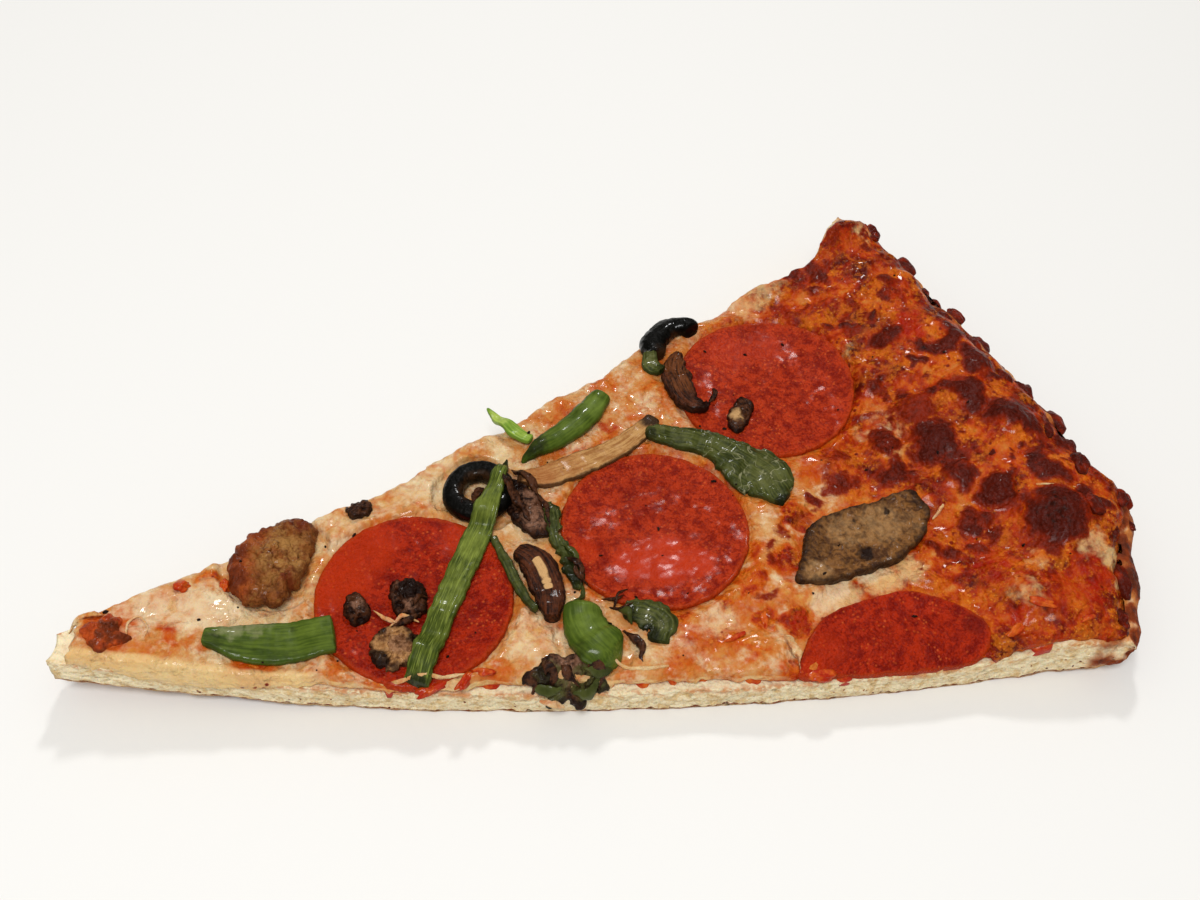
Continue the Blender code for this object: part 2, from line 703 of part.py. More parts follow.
def olives():
    """A whole ring and, at the back cut, half of another."""
    look = material("black_olive", (0.012, 0.013, 0.012), 0.25)
    around = 22
    sides = 8
    centre_s, centre_t = OLIVE_CENTRE
    verts = []
    spots = []
    for i in range(around):
        turn = 2.0 * math.pi * i / around
        for k in range(sides):
            roll = 2.0 * math.pi * k / sides
            reach = OLIVE_RADIUS + 0.5 * OLIVE_WALL * math.cos(roll)
            spots.append((centre_s + reach * math.cos(turn), centre_t + reach * math.sin(turn)))
    heights = plane_over(np.array(spots), GROUND.under(spots, 0.8))
    for i in range(around):
        for k in range(sides):
            roll = 2.0 * math.pi * k / sides
            s, t = spots[i * sides + k]
            verts.append((s, t, heights(s, t) + GAP + OLIVE_HALF_HEIGHT * (1.0 + math.sin(roll))))
    faces = []
    for i in range(around):
        for k in range(sides):
            here = i * sides
            there = ((i + 1) % around) * sides
            turn_on = (k + 1) % sides
            faces.append([here + k, here + turn_on, there + turn_on, there + k])
    add_object("olive_ring", verts, faces, look)
    arc = ((142.6, 40), (145, 45), (149.6, 49), (154, 49.8), (156, 48))
    strip("olive_half_ring", arc, (3.6, 4.6, 4.8, 4.4, 3.0), 4.2, look, stations=10)


def peppers():
    """Cut strips of green pepper, some shiny and whole, some roasted soft."""
    fresh = material("pepper_green", (0.07, 0.16, 0.02), 0.3)
    soft = material("pepper_soft", (0.05, 0.09, 0.02), 0.4)
    pale = material("pepper_yellow_green", (0.22, 0.36, 0.05), 0.35)
    near = ((31, -5.5), (37, -7.8), (44, -10), (50, -10.8), (55.5, -11.3))
    strip("pepper_near_tip", near, (2.0, 7.0, 9.0, 8.6, 7.0), 3.0, fresh, stations=12, fold=0.08)
    tucked = ((113.2, -22.5), (117, -25), (119.4, -28.5), (117, -32.2))
    strip("pepper_tucked", tucked, (3.0, 6.5, 6.0, 3.0), 2.0, soft, stations=8)
    thin = ((92.5, 2.9), (93.2, -4.3), (94, -12.4), (95.5, -18.4))
    strip("pepper_thin_left", thin, (1.6, 2.2, 2.2, 1.6), 1.6, soft, stations=10, sides=6)
    mushy = ((107, 8), (106, 2.6), (105.4, -2.7), (106, -8.7), (106, -15.7))
    strip("pepper_thin_right", mushy, (2.6, 3.4, 3.2, 3.0, 2.0), 1.6, soft, stations=10, sides=6)
    bulb = ((105.6, -18.5), (104.2, -22.9), (104.6, -27.9), (106, -32.3), (107.4, -34.6))
    strip("pepper_bulb", bulb, (5.0, 8.5, 9.6, 9.0, 6.0), 5.0, fresh, stations=12, fold=0.06)
    back = ((128.6, 33.4), (123.8, 29.4), (118.2, 25.8), (110.7, 22.6), (104.5, 20.3))
    strip("pepper_back", back, (4.5, 6.5, 6.4, 5.0, 1.5), 3.2, fresh, stations=12, fold=0.08)
    sliver = ((108.2, 24.4), (105.6, 27.2), (102.9, 31.7), (101, 35.8))
    strip("pepper_sliver", sliver, (2.4, 3.0, 2.6, 1.0), 1.6, pale, stations=9, sides=6, rises=(0.2, 1.8, 4.0, 6.4))
    wrinkled = ((133.5, 19.2), (139.2, 16.9), (144.9, 13.9), (149.1, 9.3), (152.4, 3.7), (155.5, -0.5), (156, -7))
    widths = (3.0, 4.5, 5.5, 6.0, 8.0, 10.0, 8.5)
    strip("pepper_wrinkled", wrinkled, widths, 2.6, soft, stations=15, fold=0.06)
    scrap = ((141.2, 39.5), (140.8, 36.8), (142, 34))
    strip("pepper_scrap", scrap, (2.4, 3.6, 2.4), 1.6, soft, stations=6, sides=6)
    long = ((101.3, 21.5), (97, 14.3), (90.6, 5.2), (84.3, -3), (78.2, -11.5), (72.4, -20), (68, -26.3))
    strip("pepper_long", long, (1.4, 4.4, 5.4, 5.6, 5.4, 5.2, 4.4), 2.8, fresh, stations=18, fold=0.1)


def clear_scene():
    for thing in list(bpy.data.objects):
        bpy.data.objects.remove(thing, do_unlink=True)


def main():
    clear_scene()
    dough()
    sauce()
    cheese()
    pepperoni()
    sausage()
    mushrooms()
    mushroom_strips()
    olives()
    peppers()


main()
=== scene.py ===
"""The looks of a slice of combination pizza: baked dough, tomato sauce, melted cheese and toppings.

Shapes are worked out in slice coordinates, in millimetres: s runs from the tip along the slice, t runs
across it and z runs up. Each mesh is moved to the frame's own coordinates, in metres, when it is made.
"""

from __future__ import annotations

import logging
import math
import random
from dataclasses import dataclass, field, replace
from enum import Enum
from typing import Callable, Sequence

import bpy
import numpy as np
from mathutils import Matrix

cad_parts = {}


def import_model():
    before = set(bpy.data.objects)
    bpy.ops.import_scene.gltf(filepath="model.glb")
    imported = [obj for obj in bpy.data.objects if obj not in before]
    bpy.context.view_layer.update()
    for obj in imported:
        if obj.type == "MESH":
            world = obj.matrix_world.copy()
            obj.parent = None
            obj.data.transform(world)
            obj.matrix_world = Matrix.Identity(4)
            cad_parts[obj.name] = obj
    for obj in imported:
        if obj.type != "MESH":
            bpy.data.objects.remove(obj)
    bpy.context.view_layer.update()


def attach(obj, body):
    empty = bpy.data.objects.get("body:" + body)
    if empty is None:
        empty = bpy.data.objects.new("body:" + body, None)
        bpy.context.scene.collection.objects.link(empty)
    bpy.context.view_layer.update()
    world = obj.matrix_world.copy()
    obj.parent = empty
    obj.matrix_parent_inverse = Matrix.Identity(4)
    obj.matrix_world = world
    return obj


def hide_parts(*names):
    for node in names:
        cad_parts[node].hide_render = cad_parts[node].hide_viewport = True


Array = np.ndarray
Material = bpy.types.Material
Colour = tuple[float, float, float]
Spot = tuple[float, float, float, float]

LOG = logging.getLogger("pizza_slice")
MM = 0.001
CENTRE_S = 115.1
CENTRE_T = 1.0
BODY = "root"
EMPTY = -50.0


def unit(x: Array) -> Array:
    """x, held between 0 and 1."""
    return np.clip(x, 0.0, 1.0)


def smooth(x: Array) -> Array:
    """The smooth step from 0 to 1: three x squared less two x cubed."""
    x = unit(x)
    return x * x * (3.0 - 2.0 * x)


def bell(x: Array, centre: float, width: float) -> Array:
    """A bell curve of height 1: e to the minus square of the distance in widths."""
    return np.exp(-(((x - centre) / width) ** 2))


def quarter_round(share: Array) -> Array:
    """How far a quarter circle has dropped at this share of its breadth: 1 less the root of 1 less x squared."""
    return 1.0 - np.sqrt(1.0 - share**2)


def squared_off(wave: Array, power: float) -> Array:
    """A sine or cosine with its sign kept and its size raised to a power, for a superellipse."""
    return np.sign(wave) * np.abs(wave) ** power


def full_turn(count: int) -> Array:
    """Equal steps once round, in radians."""
    return np.linspace(0.0, 2.0 * math.pi, count, endpoint=False)


def xyz(x: Array, y: Array, z: Array) -> Array:
    """Points from their three coordinates."""
    return np.stack([x, y, z], axis=-1)


def tone(red: float, green: float, blue: float) -> Colour:
    """A screen colour from 0 to 255 as the linear colour that a shader takes."""
    return tuple((channel / 255.0) ** 2.2 for channel in (red, green, blue))


class Noise:
    """Smooth seeded noise: slopes at the whole places of a cube lattice, blended between them."""

    size: int = 256

    def __init__(self, seed: int) -> None:
        """Draws the slopes and the order in which lattice places use them."""
        draw = np.random.default_rng(seed)
        slopes = draw.normal(size=(self.size, 3))
        self.slopes = slopes / np.linalg.norm(slopes, axis=1)[:, None]
        order = draw.permutation(self.size)
        self.order = np.concatenate([order, order])
        self.scatter = draw.random((self.size, 3))

    def _number(self, x: Array, y: Array, z: Array) -> Array:
        """A repeatable number below the size for each lattice place."""
        first = self.order[x % self.size]
        second = self.order[(first + y) % self.size]
        return self.order[(second + z) % self.size]

    def at(self, x: Array, y: Array, z: Array | float = 0.0) -> Array:
        """The noise, about -1 to 1: each corner's slope times the way to it, blended by a fifth-power fade."""
        x, y, z = np.broadcast_arrays(np.asarray(x, float), y, z)
        low = [np.floor(v).astype(int) for v in (x, y, z)]
        part = [x - low[0], y - low[1], z - low[2]]
        fade = [v * v * v * (v * (v * 6.0 - 15.0) + 10.0) for v in part]
        total = np.zeros(x.shape)
        for corner in range(8):
            step = [corner & 1, (corner >> 1) & 1, corner >> 2]
            slope = self.slopes[self._number(low[0] + step[0], low[1] + step[1], low[2] + step[2])]
            value = sum(slope[..., k] * (part[k] - step[k]) for k in range(3))
            for k in range(3):
                value = value * (fade[k] if step[k] else 1.0 - fade[k])
            total += value
        return 1.6 * total

    def layered(self, x: Array, y: Array, z: Array | float = 0.0, octaves: int = 3) -> Array:
        """Octaves of noise added up, each half as wide and half as high as the one before."""
        return sum(
            self.at(x * 2.0**k + 7.3 * k, y * 2.0**k, np.asarray(z) * 2.0**k) / 2.0**k for k in range(octaves)
        )

    def cells(self, x: Array, y: Array, z: Array | float = 0.0) -> Array:
        """The distance to the nearest of points strewn one to a lattice cube."""
        x, y, z = np.broadcast_arrays(np.asarray(x, float), y, z)
        low = [np.floor(v).astype(int) for v in (x, y, z)]
        best = np.full(x.shape, 9.0)
        for number in range(27):
            step = [number % 3 - 1, number // 3 % 3 - 1, number // 9 - 1]
            cube = [low[k] + step[k] for k in range(3)]
            spot = self.scatter[self._number(*cube)]
            gap = sum((cube[k] + spot[..., k] - v) ** 2 for k, v in enumerate((x, y, z)))
            best = np.minimum(best, gap)
        return np.sqrt(best)


NOISE = Noise(5)


def spots(s: Array, t: Array, places: Sequence[Spot], edge: float = 0.35) -> Array:
    """The strongest of some round spots at each point: full inside, and fading over a share of the radius.

    Args:
        s: Places along the slice.
        t: Places across the slice.
        places: Along, across, radius and strength of each spot.
        edge: The share of the radius over which a spot fades.
    """
    best = np.zeros(np.shape(s))
    for place_s, place_t, radius, strength in places:
        away = np.hypot(s - place_s, t - place_t) / radius
        best = np.maximum(best, strength * smooth((1.0 + edge - away) / (2.0 * edge)))
    return best


def heap(s: Array, t: Array, place_s: float, place_t: float, radius: float) -> Array:
    """A round heap of height 1: 1 less the square of the distance in radii."""
    return unit(1.0 - ((s - place_s) ** 2 + (t - place_t) ** 2) / radius**2)


@dataclass(frozen=True)
class SliceForm:
    """The curves that all layers share, in millimetres and in degrees about the wedge's apex."""

    apex_s: float = -5.3
    apex_t: float = 1.6
    radius: float = 228.5
    rim_angle: float = 16.7
    tip_front: float = 6.6
    tip_back: float = 9.3
    field_height: float = 10.6
    dough_height: float = 6.9
    crust_start: float = 46.0
    crust_ridge: float = 13.0
    crust_nose: float = 7.5
    mound_seed: int = 11
    mound_count: int = 80
    mound_reach: float = 225.0
    knobs: tuple = (
        (-13.2, 1.5, 2.6), (-15.9, 1.1, 1.8), (-2.4, 1.2, 1.6), (7.1, 1, 1.4), (10.5, 1.2, 2), (15.4, 1.3, 2.2),
    )
    back_swells: tuple = ((163, 20, 0.9), (25, 25, 1.2), (203, 10, -0.35), (8, 6, 5), (222, 3.4, 0.8))
    blisters: tuple = (
        (195, -4.5, 5.5), (184, -8, 3.5), (185, 0, 4), (209, -33, 7), (196, -14.5, 3.5), (201.5, -22.5, 3.6),
        (193.5, -26, 3), (206.5, 4.5, 5), (212, -6, 4.8), (213.5, 10.5, 4.5), (212, 19, 3.6), (211, 42, 3.3),
        (205, 42, 2.8), (197.5, 25.5, 2.6), (189, 15.5, 2.6), (194.5, 5, 5), (190, 50, 2.8), (197, -48, 6.5),
    )
    beds: tuple = (
        (73, -6.7, 22.5, 0.9), (126.9, -5.3, 22.5, 1.2), (166.4, 25.2, 23, 0.8), (162, -53, 22.5, 0.8),
        (92.8, 14.7, 10, 1.2), (47.5, 10, 12, 1.4), (168, -22, 14, 0.5), (42, -9.5, 9, 0.8), (106, -27, 9, 0.8),
    )

    def polar(self, s: Array, t: Array) -> tuple[Array, Array]:
        """Distance from the apex, and the angle in degrees."""
        along = s - self.apex_s
        across = t - self.apex_t
        return np.hypot(along, across), np.degrees(np.arctan2(across, along))

    def place(self, reach: Array, angle: Array) -> tuple[Array, Array]:
        """The point at this distance and angle: the apex plus cosine and sine times the distance."""
        turn = np.radians(angle)
        return self.apex_s + reach * np.cos(turn), self.apex_t + reach * np.sin(turn)

    def tip_start(self, share: Array) -> Array:
        """Where the blunt tip begins, from its front corner at share 0 to its back corner at 1."""
        return self.tip_front + (self.tip_back - self.tip_front) * share

    def rim_angles(self, share: Array) -> Array:
        """The rim's angle at these shares of the way across."""
        return self.rim_angle * (2.0 * share - 1.0)

    def cut_gaps(self, s: Array, t: Array) -> tuple[Array, Array, Array]:
        """Each point's distance to the front cut and to the back cut, and from the apex, in millimetres."""
        reach, angle = self.polar(s, t)
        front = np.radians(angle - self.front_angle(reach)) * reach
        back = np.radians(self.back_angle(reach) - angle) * reach
        return front, back, reach

    def lift(self, s: Array) -> Array:
        """How far the underside is off the ground: squares of the way past the flat middle's two ends."""
        tip = unit((85.0 - s) / 85.0)
        heel = np.clip((s - 180.0) / 45.0, 0.0, 1.5)
        return 6.5 * tip**2 + 3.0 * heel**2

    def front_angle(self, reach: Array) -> Array:
        """The front cut, bowed outwards most of all near the tip."""
        return -21.7 + 5.0 * unit((reach - 40.0) / 170.0) ** 1.35

    def back_angle(self, reach: Array) -> Array:
        """The back cut, with a slow wave, swells at the named distances and one dip."""
        angle = 15.3 + 0.8 * smooth((reach - 60.0) / 90.0) + 0.6 * smooth((reach - 205.0) / 15.0)
        angle = angle + 0.3 * np.sin(reach * 0.21) * smooth((reach - 20.0) / 30.0)
        return angle + sum(height * bell(reach, place, width) for place, width, height in self.back_swells)

    def rim_radius(self, angle: Array) -> Array:
        """The rim's distance from the apex: a circle with bulges, pulled-in corners and burnt knobs."""
        radius = self.radius + 8.6 * bell(angle, -8.4, 3.6) + 1.5 * bell(angle, -0.3, 2.6)
        radius = radius - 3.4 * bell(angle, 9.3, 3.6) - 5.0 * np.clip((angle - 13.0) / 3.7, 0.0, 2.0) ** 1.2
        radius = radius - 2.4 * np.clip((-13.0 - angle) / 3.7, 0.0, 2.0) ** 2
        return radius + sum(height * bell(angle, place, width) for place, width, height in self.knobs)

    def rim_inset(self, s: Array, t: Array) -> Array:
        """How far inside the rim a point lies."""
        reach, angle = self.polar(s, t)
        return self.rim_radius(np.clip(angle, -self.rim_angle, self.rim_angle)) - reach

    def crust_rise(self, angle: Array) -> Array:
        """The ridge over the field, highest at the back corner and low at the front corner."""
        return 7.2 - 4.4 * smooth((-angle - 6.0) / 10.7) + 3.8 * bell(angle, 16.4, 1.3)

    def base_height(self, s: Array, t: Array) -> Array:
        """The smooth top: a flat field, a slope up to the ridge, and a quarter ellipse down to the nose."""
        reach, angle = self.polar(s, t)
        angle = np.clip(angle, -self.rim_angle, self.rim_angle)
        inset = self.rim_radius(angle) - reach
        rise = self.crust_rise(angle)
        slope = rise * smooth((self.crust_start - inset) / (self.crust_start - self.crust_ridge))
        over = unit((self.crust_ridge - inset) / self.crust_ridge)
        drop = (self.field_height + rise - self.crust_nose) * quarter_round(over)
        return self.field_height + slope - drop

    def bed_cover(self, s: Array, t: Array) -> Array:
        """1 under a large topping and 0 away from it."""
        return spots(s, t, [(a, b, radius, 1.0) for a, b, radius, _ in self.beds], 0.07)

    def mounds(self) -> list[Spot]:
        """Soft mounds of melted cheese, scattered over the slice by a seeded draw."""
        draw = random.Random(self.mound_seed)
        found = []
        for _ in range(self.mound_count):
            reach = self.mound_reach * math.sqrt(draw.random())
            s, t = self.place(reach, draw.uniform(-19.0, 17.0))
            found.append((s, t, draw.uniform(4.5, 9.0), draw.uniform(0.4, 1.1)))
        return found

    def cheese_top(self, s: Array, t: Array) -> Array:
        """The cheese's top without fine relief: waves, mounds and blisters, pressed in under toppings."""
        relief = 0.35 * np.sin(s * 0.23 + 1.0) * np.cos(t * 0.31) + 0.25 * np.sin(t * 0.55 + s * 0.12)
        for *spot, height in self.mounds():
            relief = relief + height * heap(s, t, *spot) ** 2
        relief = relief * (1.0 - self.bed_cover(s, t))
        for place_s, place_t, radius in self.blisters:
            relief = relief + 0.34 * radius * heap(s, t, place_s, place_t, 1.25 * radius) ** 1.5
        depth = spots(s, t, self.beds, 0.07)
        return self.base_height(s, t) + relief - depth + self.lift(s)

    def dough_top(self, s: Array, t: Array) -> Array:
        """Under the cheese the dough lies lower, and at the rim it comes up to the surface."""
        inset = self.rim_inset(s, t)
        field_drop = self.field_height - self.dough_height
        recess = field_drop - 1.7 * smooth((26.0 - inset) / 12.0) - (field_drop - 1.7) * smooth((6.5 - inset) / 4.0)
        return self.base_height(s, t) - recess + self.lift(s)


FORM = SliceForm()


def grid_faces(index: Array, closed: bool = False) -> Array:
    """The quads of a grid of point numbers. A closed grid joins its last column to its first."""
    if closed:
        index = np.concatenate([index, index[:, :1]], axis=1)
    corners = (index[:-1, :-1], index[:-1, 1:], index[1:, 1:], index[1:, :-1])
    return np.stack([corner.ravel() for corner in corners], axis=1)


def fan(ring: Array, centre: int) -> Array:
    """The triangles from a centre point to a closed ring."""
    return np.stack([ring, np.roll(ring, -1), np.full(len(ring), centre)], axis=1)


def linked(name: str, data: bpy.types.ID) -> bpy.types.Object:
    """A new object with this mesh, light or camera, put in the scene."""
    made = bpy.data.objects.new(name, data)
    bpy.context.scene.collection.objects.link(made)
    return made


@dataclass
class Skin:
    """A closed mesh being worked out, in slice coordinates, with a mark at each point for its finish."""

    points: Array
    faces: list[Array]
    marks: dict[str, Array] = field(default_factory=dict)

    def triangles(self) -> Array:
        """Every face as triangles: a quad is split along its first diagonal."""
        parts = []
        for group in self.faces:
            for k in range(1, group.shape[1] - 1):
                parts.append(group[:, [0, k, k + 1]])
        return np.concatenate(parts)

    def face_outwards(self) -> None:
        """Turns all faces round where the volume that they enclose comes out negative."""
        a, b, c = (self.points[self.triangles()[:, k]] for k in range(3))
        if np.einsum("ij,ij->i", a, np.cross(b, c)).sum() < 0.0:
            self.faces = [group[:, ::-1] for group in self.faces]

    def normals(self) -> Array:
        """The direction outwards at each point: the sum of its triangles' cross products, made unit."""
        triangles = self.triangles()
        a, b, c = (self.points[triangles[:, k]] for k in range(3))
        cross = np.cross(b - a, c - a)
        total = np.zeros_like(self.points)
        for k in range(3):
            for axis in range(3):
                total[:, axis] += np.bincount(triangles[:, k], cross[:, axis], len(total))
        return total / np.maximum(np.linalg.norm(total, axis=1), 1e-9)[:, None]

    def push(self, amount: Array) -> None:
        """Moves each point along its normal by this many millimetres."""
        self.points = self.points + self.normals() * np.asarray(amount)[:, None]

    def make(self, name: str, look: Material, slot: str, nodes: Sequence[str] = ()) -> bpy.types.Object:
        """Turns the skin into a piece that rides on the body.

        Args:
            name: The piece's name.
            look: Its material.
            slot: The record's material slot; not used.
            nodes: The nodes of the frame that it stands for.

        Returns:
            The new object.
        """
        self.face_outwards()
        mesh = bpy.data.meshes.new(name)
        placed = (self.points - np.array([CENTRE_S, CENTRE_T, 0.0])) * MM
        mesh.from_pydata(placed.tolist(), [], [face for group in self.faces for face in group.tolist()])
        for key, values in self.marks.items():
            layer = mesh.attributes.new(key, "FLOAT", "POINT")
            layer.data.foreach_set("value", np.ascontiguousarray(values, np.float32))
        mesh.shade_smooth()
        mesh.materials.append(look)
        made = linked(name, mesh)
        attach(made, BODY)
        for node in nodes:
            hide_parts(node)
        LOG.info("%s: %d points", name, len(self.points))
        return made


def capped(rings: Array) -> Skin:
    """The skin over a row of closed rings of points, with a middle point added at each end."""
    index = np.arange(rings[..., 0].size).reshape(rings.shape[:2])
    faces = [grid_faces(index, closed=True), fan(index[0], index.size)[:, ::-1], fan(index[-1], index.size + 1)]
    return Skin(np.concatenate([rings.reshape(-1, 3), rings.mean(axis=1)[[0, -1]]]), faces)


@dataclass
class Ground:
    """A grid of heights: the top of everything that lies on the slice so far."""

    low_s: float = -10.0
    low_t: float = -75.0
    step: float = 0.5
    heights: Array = field(default_factory=lambda: np.full((510, 300), EMPTY))

    def add(self, points: Array) -> None:
        """Raises the grid to these points, and fills the cells that lie between or just beyond them."""
        i = np.clip(np.rint((points[:, 0] - self.low_s) / self.step).astype(int), 0, self.heights.shape[0] - 1)
        j = np.clip(np.rint((points[:, 1] - self.low_t) / self.step).astype(int), 0, self.heights.shape[1] - 1)
        np.maximum.at(self.heights, (i, j), points[:, 2])

    def settle(self, rounds: int = 24) -> None:
        """Gives each empty cell the highest of its neighbours, again and again outwards."""
        for _ in range(rounds):
            best = self.heights.copy()
            for axis in (0, 1):
                for way in (-1, 1):
                    best = np.maximum(best, np.roll(self.heights, way, axis))
            self.heights = np.where(self.heights > EMPTY, self.heights, best)

    def soft(self, reach: float) -> Ground:
        """A copy blurred by running means, as a soft thing feels the ground."""
        half = max(1, int(round(reach / self.step)))
        blurred = self.heights.copy()
        for _ in range(2):
            for axis in (0, 1):
                shifted = [np.roll(blurred, way, axis) for way in range(-half, half + 1)]
                blurred = sum(shifted) / len(shifted)
        return Ground(self.low_s, self.low_t, self.step, blurred)

    def at(self, s: Array, t: Array) -> Array:
        """The height at each point, blended between the four cells round it."""
        x = np.clip((s - self.low_s) / self.step, 0.0, self.heights.shape[0] - 1.001)
        y = np.clip((t - self.low_t) / self.step, 0.0, self.heights.shape[1] - 1.001)
        i, j = x.astype(int), y.astype(int)
        u, v = x - i, y - j
        low = self.heights[i, j] * (1.0 - v) + self.heights[i, j + 1] * v
        high = self.heights[i + 1, j] * (1.0 - v) + self.heights[i + 1, j + 1] * v
        return low * (1.0 - u) + high * u


GROUND = Ground()


@dataclass(frozen=True)
class DoughBase:
    """The baked base: a thin sheet that swells into the crust, with two porous cut faces and a blunt tip."""

    columns: int = 224
    stride: int = 4
    levels: int = 14
    field_steps: int = 196
    slope_steps: int = 54
    nose_steps: int = 26
    slope_start: float = 52.0
    under_round: float = 6.0
    burnt: tuple = (
        (219.4, 50, 3.4, 1), (221.2, 35.7, 2.8, 1), (221.8, 29.6, 2.4, 1), (223.5, 19, 2.2, 0.6),
        (229.1, -8.3, 3.6, 1), (222.5, -24, 5, 0.9), (221.5, -35, 4.5, 0.9), (219.5, -43, 3.5, 0.8),
        (225.5, -1, 5, 0.7), (223, 13, 4, 0.6), (219.5, -50.5, 3.4, 0.9), (214.5, -57.5, 2.4, 0.7),
        (213.1, -62, 2, 0.7), (214.5, 62, 3, 0.9), (225, 7, 2.4, 0.6),
    )

    def reaches(self) -> tuple[Array, Array]:
        """How far each station of each column is from the apex, and the rim angle of each column."""
        across = np.linspace(0.0, 1.0, self.columns + 1)
        angle = FORM.rim_angles(across)
        radius = FORM.rim_radius(angle)
        start = FORM.tip_start(across)
        share = np.linspace(0.0, 1.0, self.field_steps)[:, None]
        inland = start + (radius - self.slope_start - start) * share
        slope = radius - np.linspace(self.slope_start, FORM.crust_ridge, self.slope_steps)[1:, None]
        turn = np.linspace(0.0, 0.5 * math.pi, self.nose_steps)[1:-1, None]
        nose = radius - FORM.crust_ridge * (1.0 - np.sin(turn))
        return np.concatenate([inland, slope, nose]), angle

    def skin(self) -> Skin:
        """Top and underside over a grid of reach and share across, joined by the nose, the cuts and the tip."""
        reach, angle_rim = self.reaches()
        across = np.linspace(0.0, 1.0, self.columns + 1)
        angle = (1.0 - across) * FORM.front_angle(reach) + across * FORM.back_angle(reach)
        s, t = FORM.place(reach, angle)
        inset = FORM.rim_radius(angle_rim) - reach
        top = xyz(s, t, FORM.dough_top(s, t))
        under = unit((self.under_round - inset) / self.under_round)
        base = FORM.lift(s) + FORM.crust_nose * quarter_round(under)
        low = xyz(s, t, base)[:, :: self.stride]
        nose_s, nose_t = FORM.place(FORM.rim_radius(angle_rim), angle_rim)
        nose = xyz(nose_s, nose_t, FORM.crust_nose + FORM.lift(nose_s))
        share = np.linspace(0.0, 1.0, self.levels + 1)[1:-1][None, :, None]
        cuts = [top[:, side][:, None] * (1.0 - share) + low[:, side][:, None] * share for side in (0, -1)]

        blocks = [top.reshape(-1, 3), low.reshape(-1, 3), nose, cuts[0].reshape(-1, 3), cuts[1].reshape(-1, 3)]
        starts = np.cumsum([0] + [len(block) for block in blocks])
        numbers = [np.arange(a, b) for a, b in zip(starts, starts[1:])]
        upper = numbers[0].reshape(top.shape[:2])
        lower = numbers[1].reshape(low.shape[:2])
        front = np.concatenate([upper[:, :1], numbers[3].reshape(len(reach), -1), lower[:, :1]], axis=1)
        back = np.concatenate([upper[:, -1:], numbers[4].reshape(len(reach), -1), lower[:, -1:]], axis=1)
        faces = [
            grid_faces(upper),
            grid_faces(lower)[:, ::-1],
            grid_faces(np.stack([upper[-1], numbers[2]])),
            grid_faces(front)[:, ::-1],
            grid_faces(back),
        ]
        faces += self._seams(upper, lower, numbers[2], front, back)
        skin = Skin(np.concatenate(blocks), faces)
        self._roughen(skin, starts)
        self._mark(skin, starts)
        return skin

    def _seams(self, upper: Array, lower: Array, nose: Array, front: Array, back: Array) -> list[Array]:
        """The faces that join the fine top to the coarse underside at the nose and at the tip."""
        cells = np.arange(lower.shape[1] - 1)
        fine = cells[:, None] * self.stride + np.arange(self.stride + 1)
        under_nose = np.concatenate([nose[fine], lower[-1][cells + 1][:, None], lower[-1][cells][:, None]], axis=1)
        tip = np.concatenate([upper[0][fine], lower[0][cells + 1][:, None], lower[0][cells][:, None]], axis=1)
        first = np.concatenate([tip[0], front[0, -2:0:-1]])[None]
        last = np.concatenate([tip[-1][: self.stride + 1], back[0, 1:-1], tip[-1][self.stride + 1 :]])[None]
        wedge = np.full((front.shape[1] - 1, 1), nose[0])
        front_end = np.concatenate([front[-1, 1:, None], front[-1, :-1, None], wedge], axis=1)
        wedge = np.full((back.shape[1] - 1, 1), nose[-1])
        back_end = np.concatenate([back[-1, :-1, None], back[-1, 1:, None], wedge], axis=1)
        return [under_nose, tip[1:-1, ::-1], first[:, ::-1], last[:, ::-1], front_end, back_end]

    def _roughen(self, skin: Skin, starts: Array) -> None:
        """Waves and pores on the cuts, and crags on the rim: noise along the way outwards."""
        points = skin.points
        s, t, z = points.T
        front, back, reach = FORM.cut_gaps(s, t)
        inset = FORM.rim_inset(s, t)
        number = np.arange(len(points))
        for gap, side, first, last in ((front, -1.0, starts[3], starts[4]), (back, 1.0, starts[4], starts[5])):
            _, angle = FORM.polar(points[:, 0], points[:, 1])
            turn = np.radians(angle)
            outward = side * xyz(-np.sin(turn), np.cos(turn), np.zeros(len(turn)))
            wave = 0.42 * NOISE.layered(reach / 7.0, z / 4.0, side) + 0.16 * NOISE.at(reach / 1.7, z / 1.2, side)
            near = np.exp(-((gap / 2.0) ** 2)) * smooth(reach / 12.0)
            inner = (number >= first) & (number < last)
            pore = smooth(1.0 - NOISE.cells(reach / 1.9, z / 1.25, 3.0 * side) / 0.42)
            fine = smooth(1.0 - NOISE.cells(reach / 0.95, z / 0.8, 5.0 * side) / 0.5)
            pits = np.where(inner, 0.75 * pore + 0.3 * fine, 0.0)
            points = points + outward * (near * wave - pits)[:, None]
        skin.points = points
        rim = smooth((17.0 - inset) / 9.0)
        crags = 0.55 * NOISE.layered(points[:, 0] / 6.0, points[:, 1] / 6.0, z / 5.0)
        crags += 0.28 * np.abs(NOISE.layered(points[:, 0] / 1.9, points[:, 1] / 1.9, z / 1.9, 2))
        skin.push(rim * crags)
        skin.points[:, 2] = np.maximum(skin.points[:, 2], 0.0)

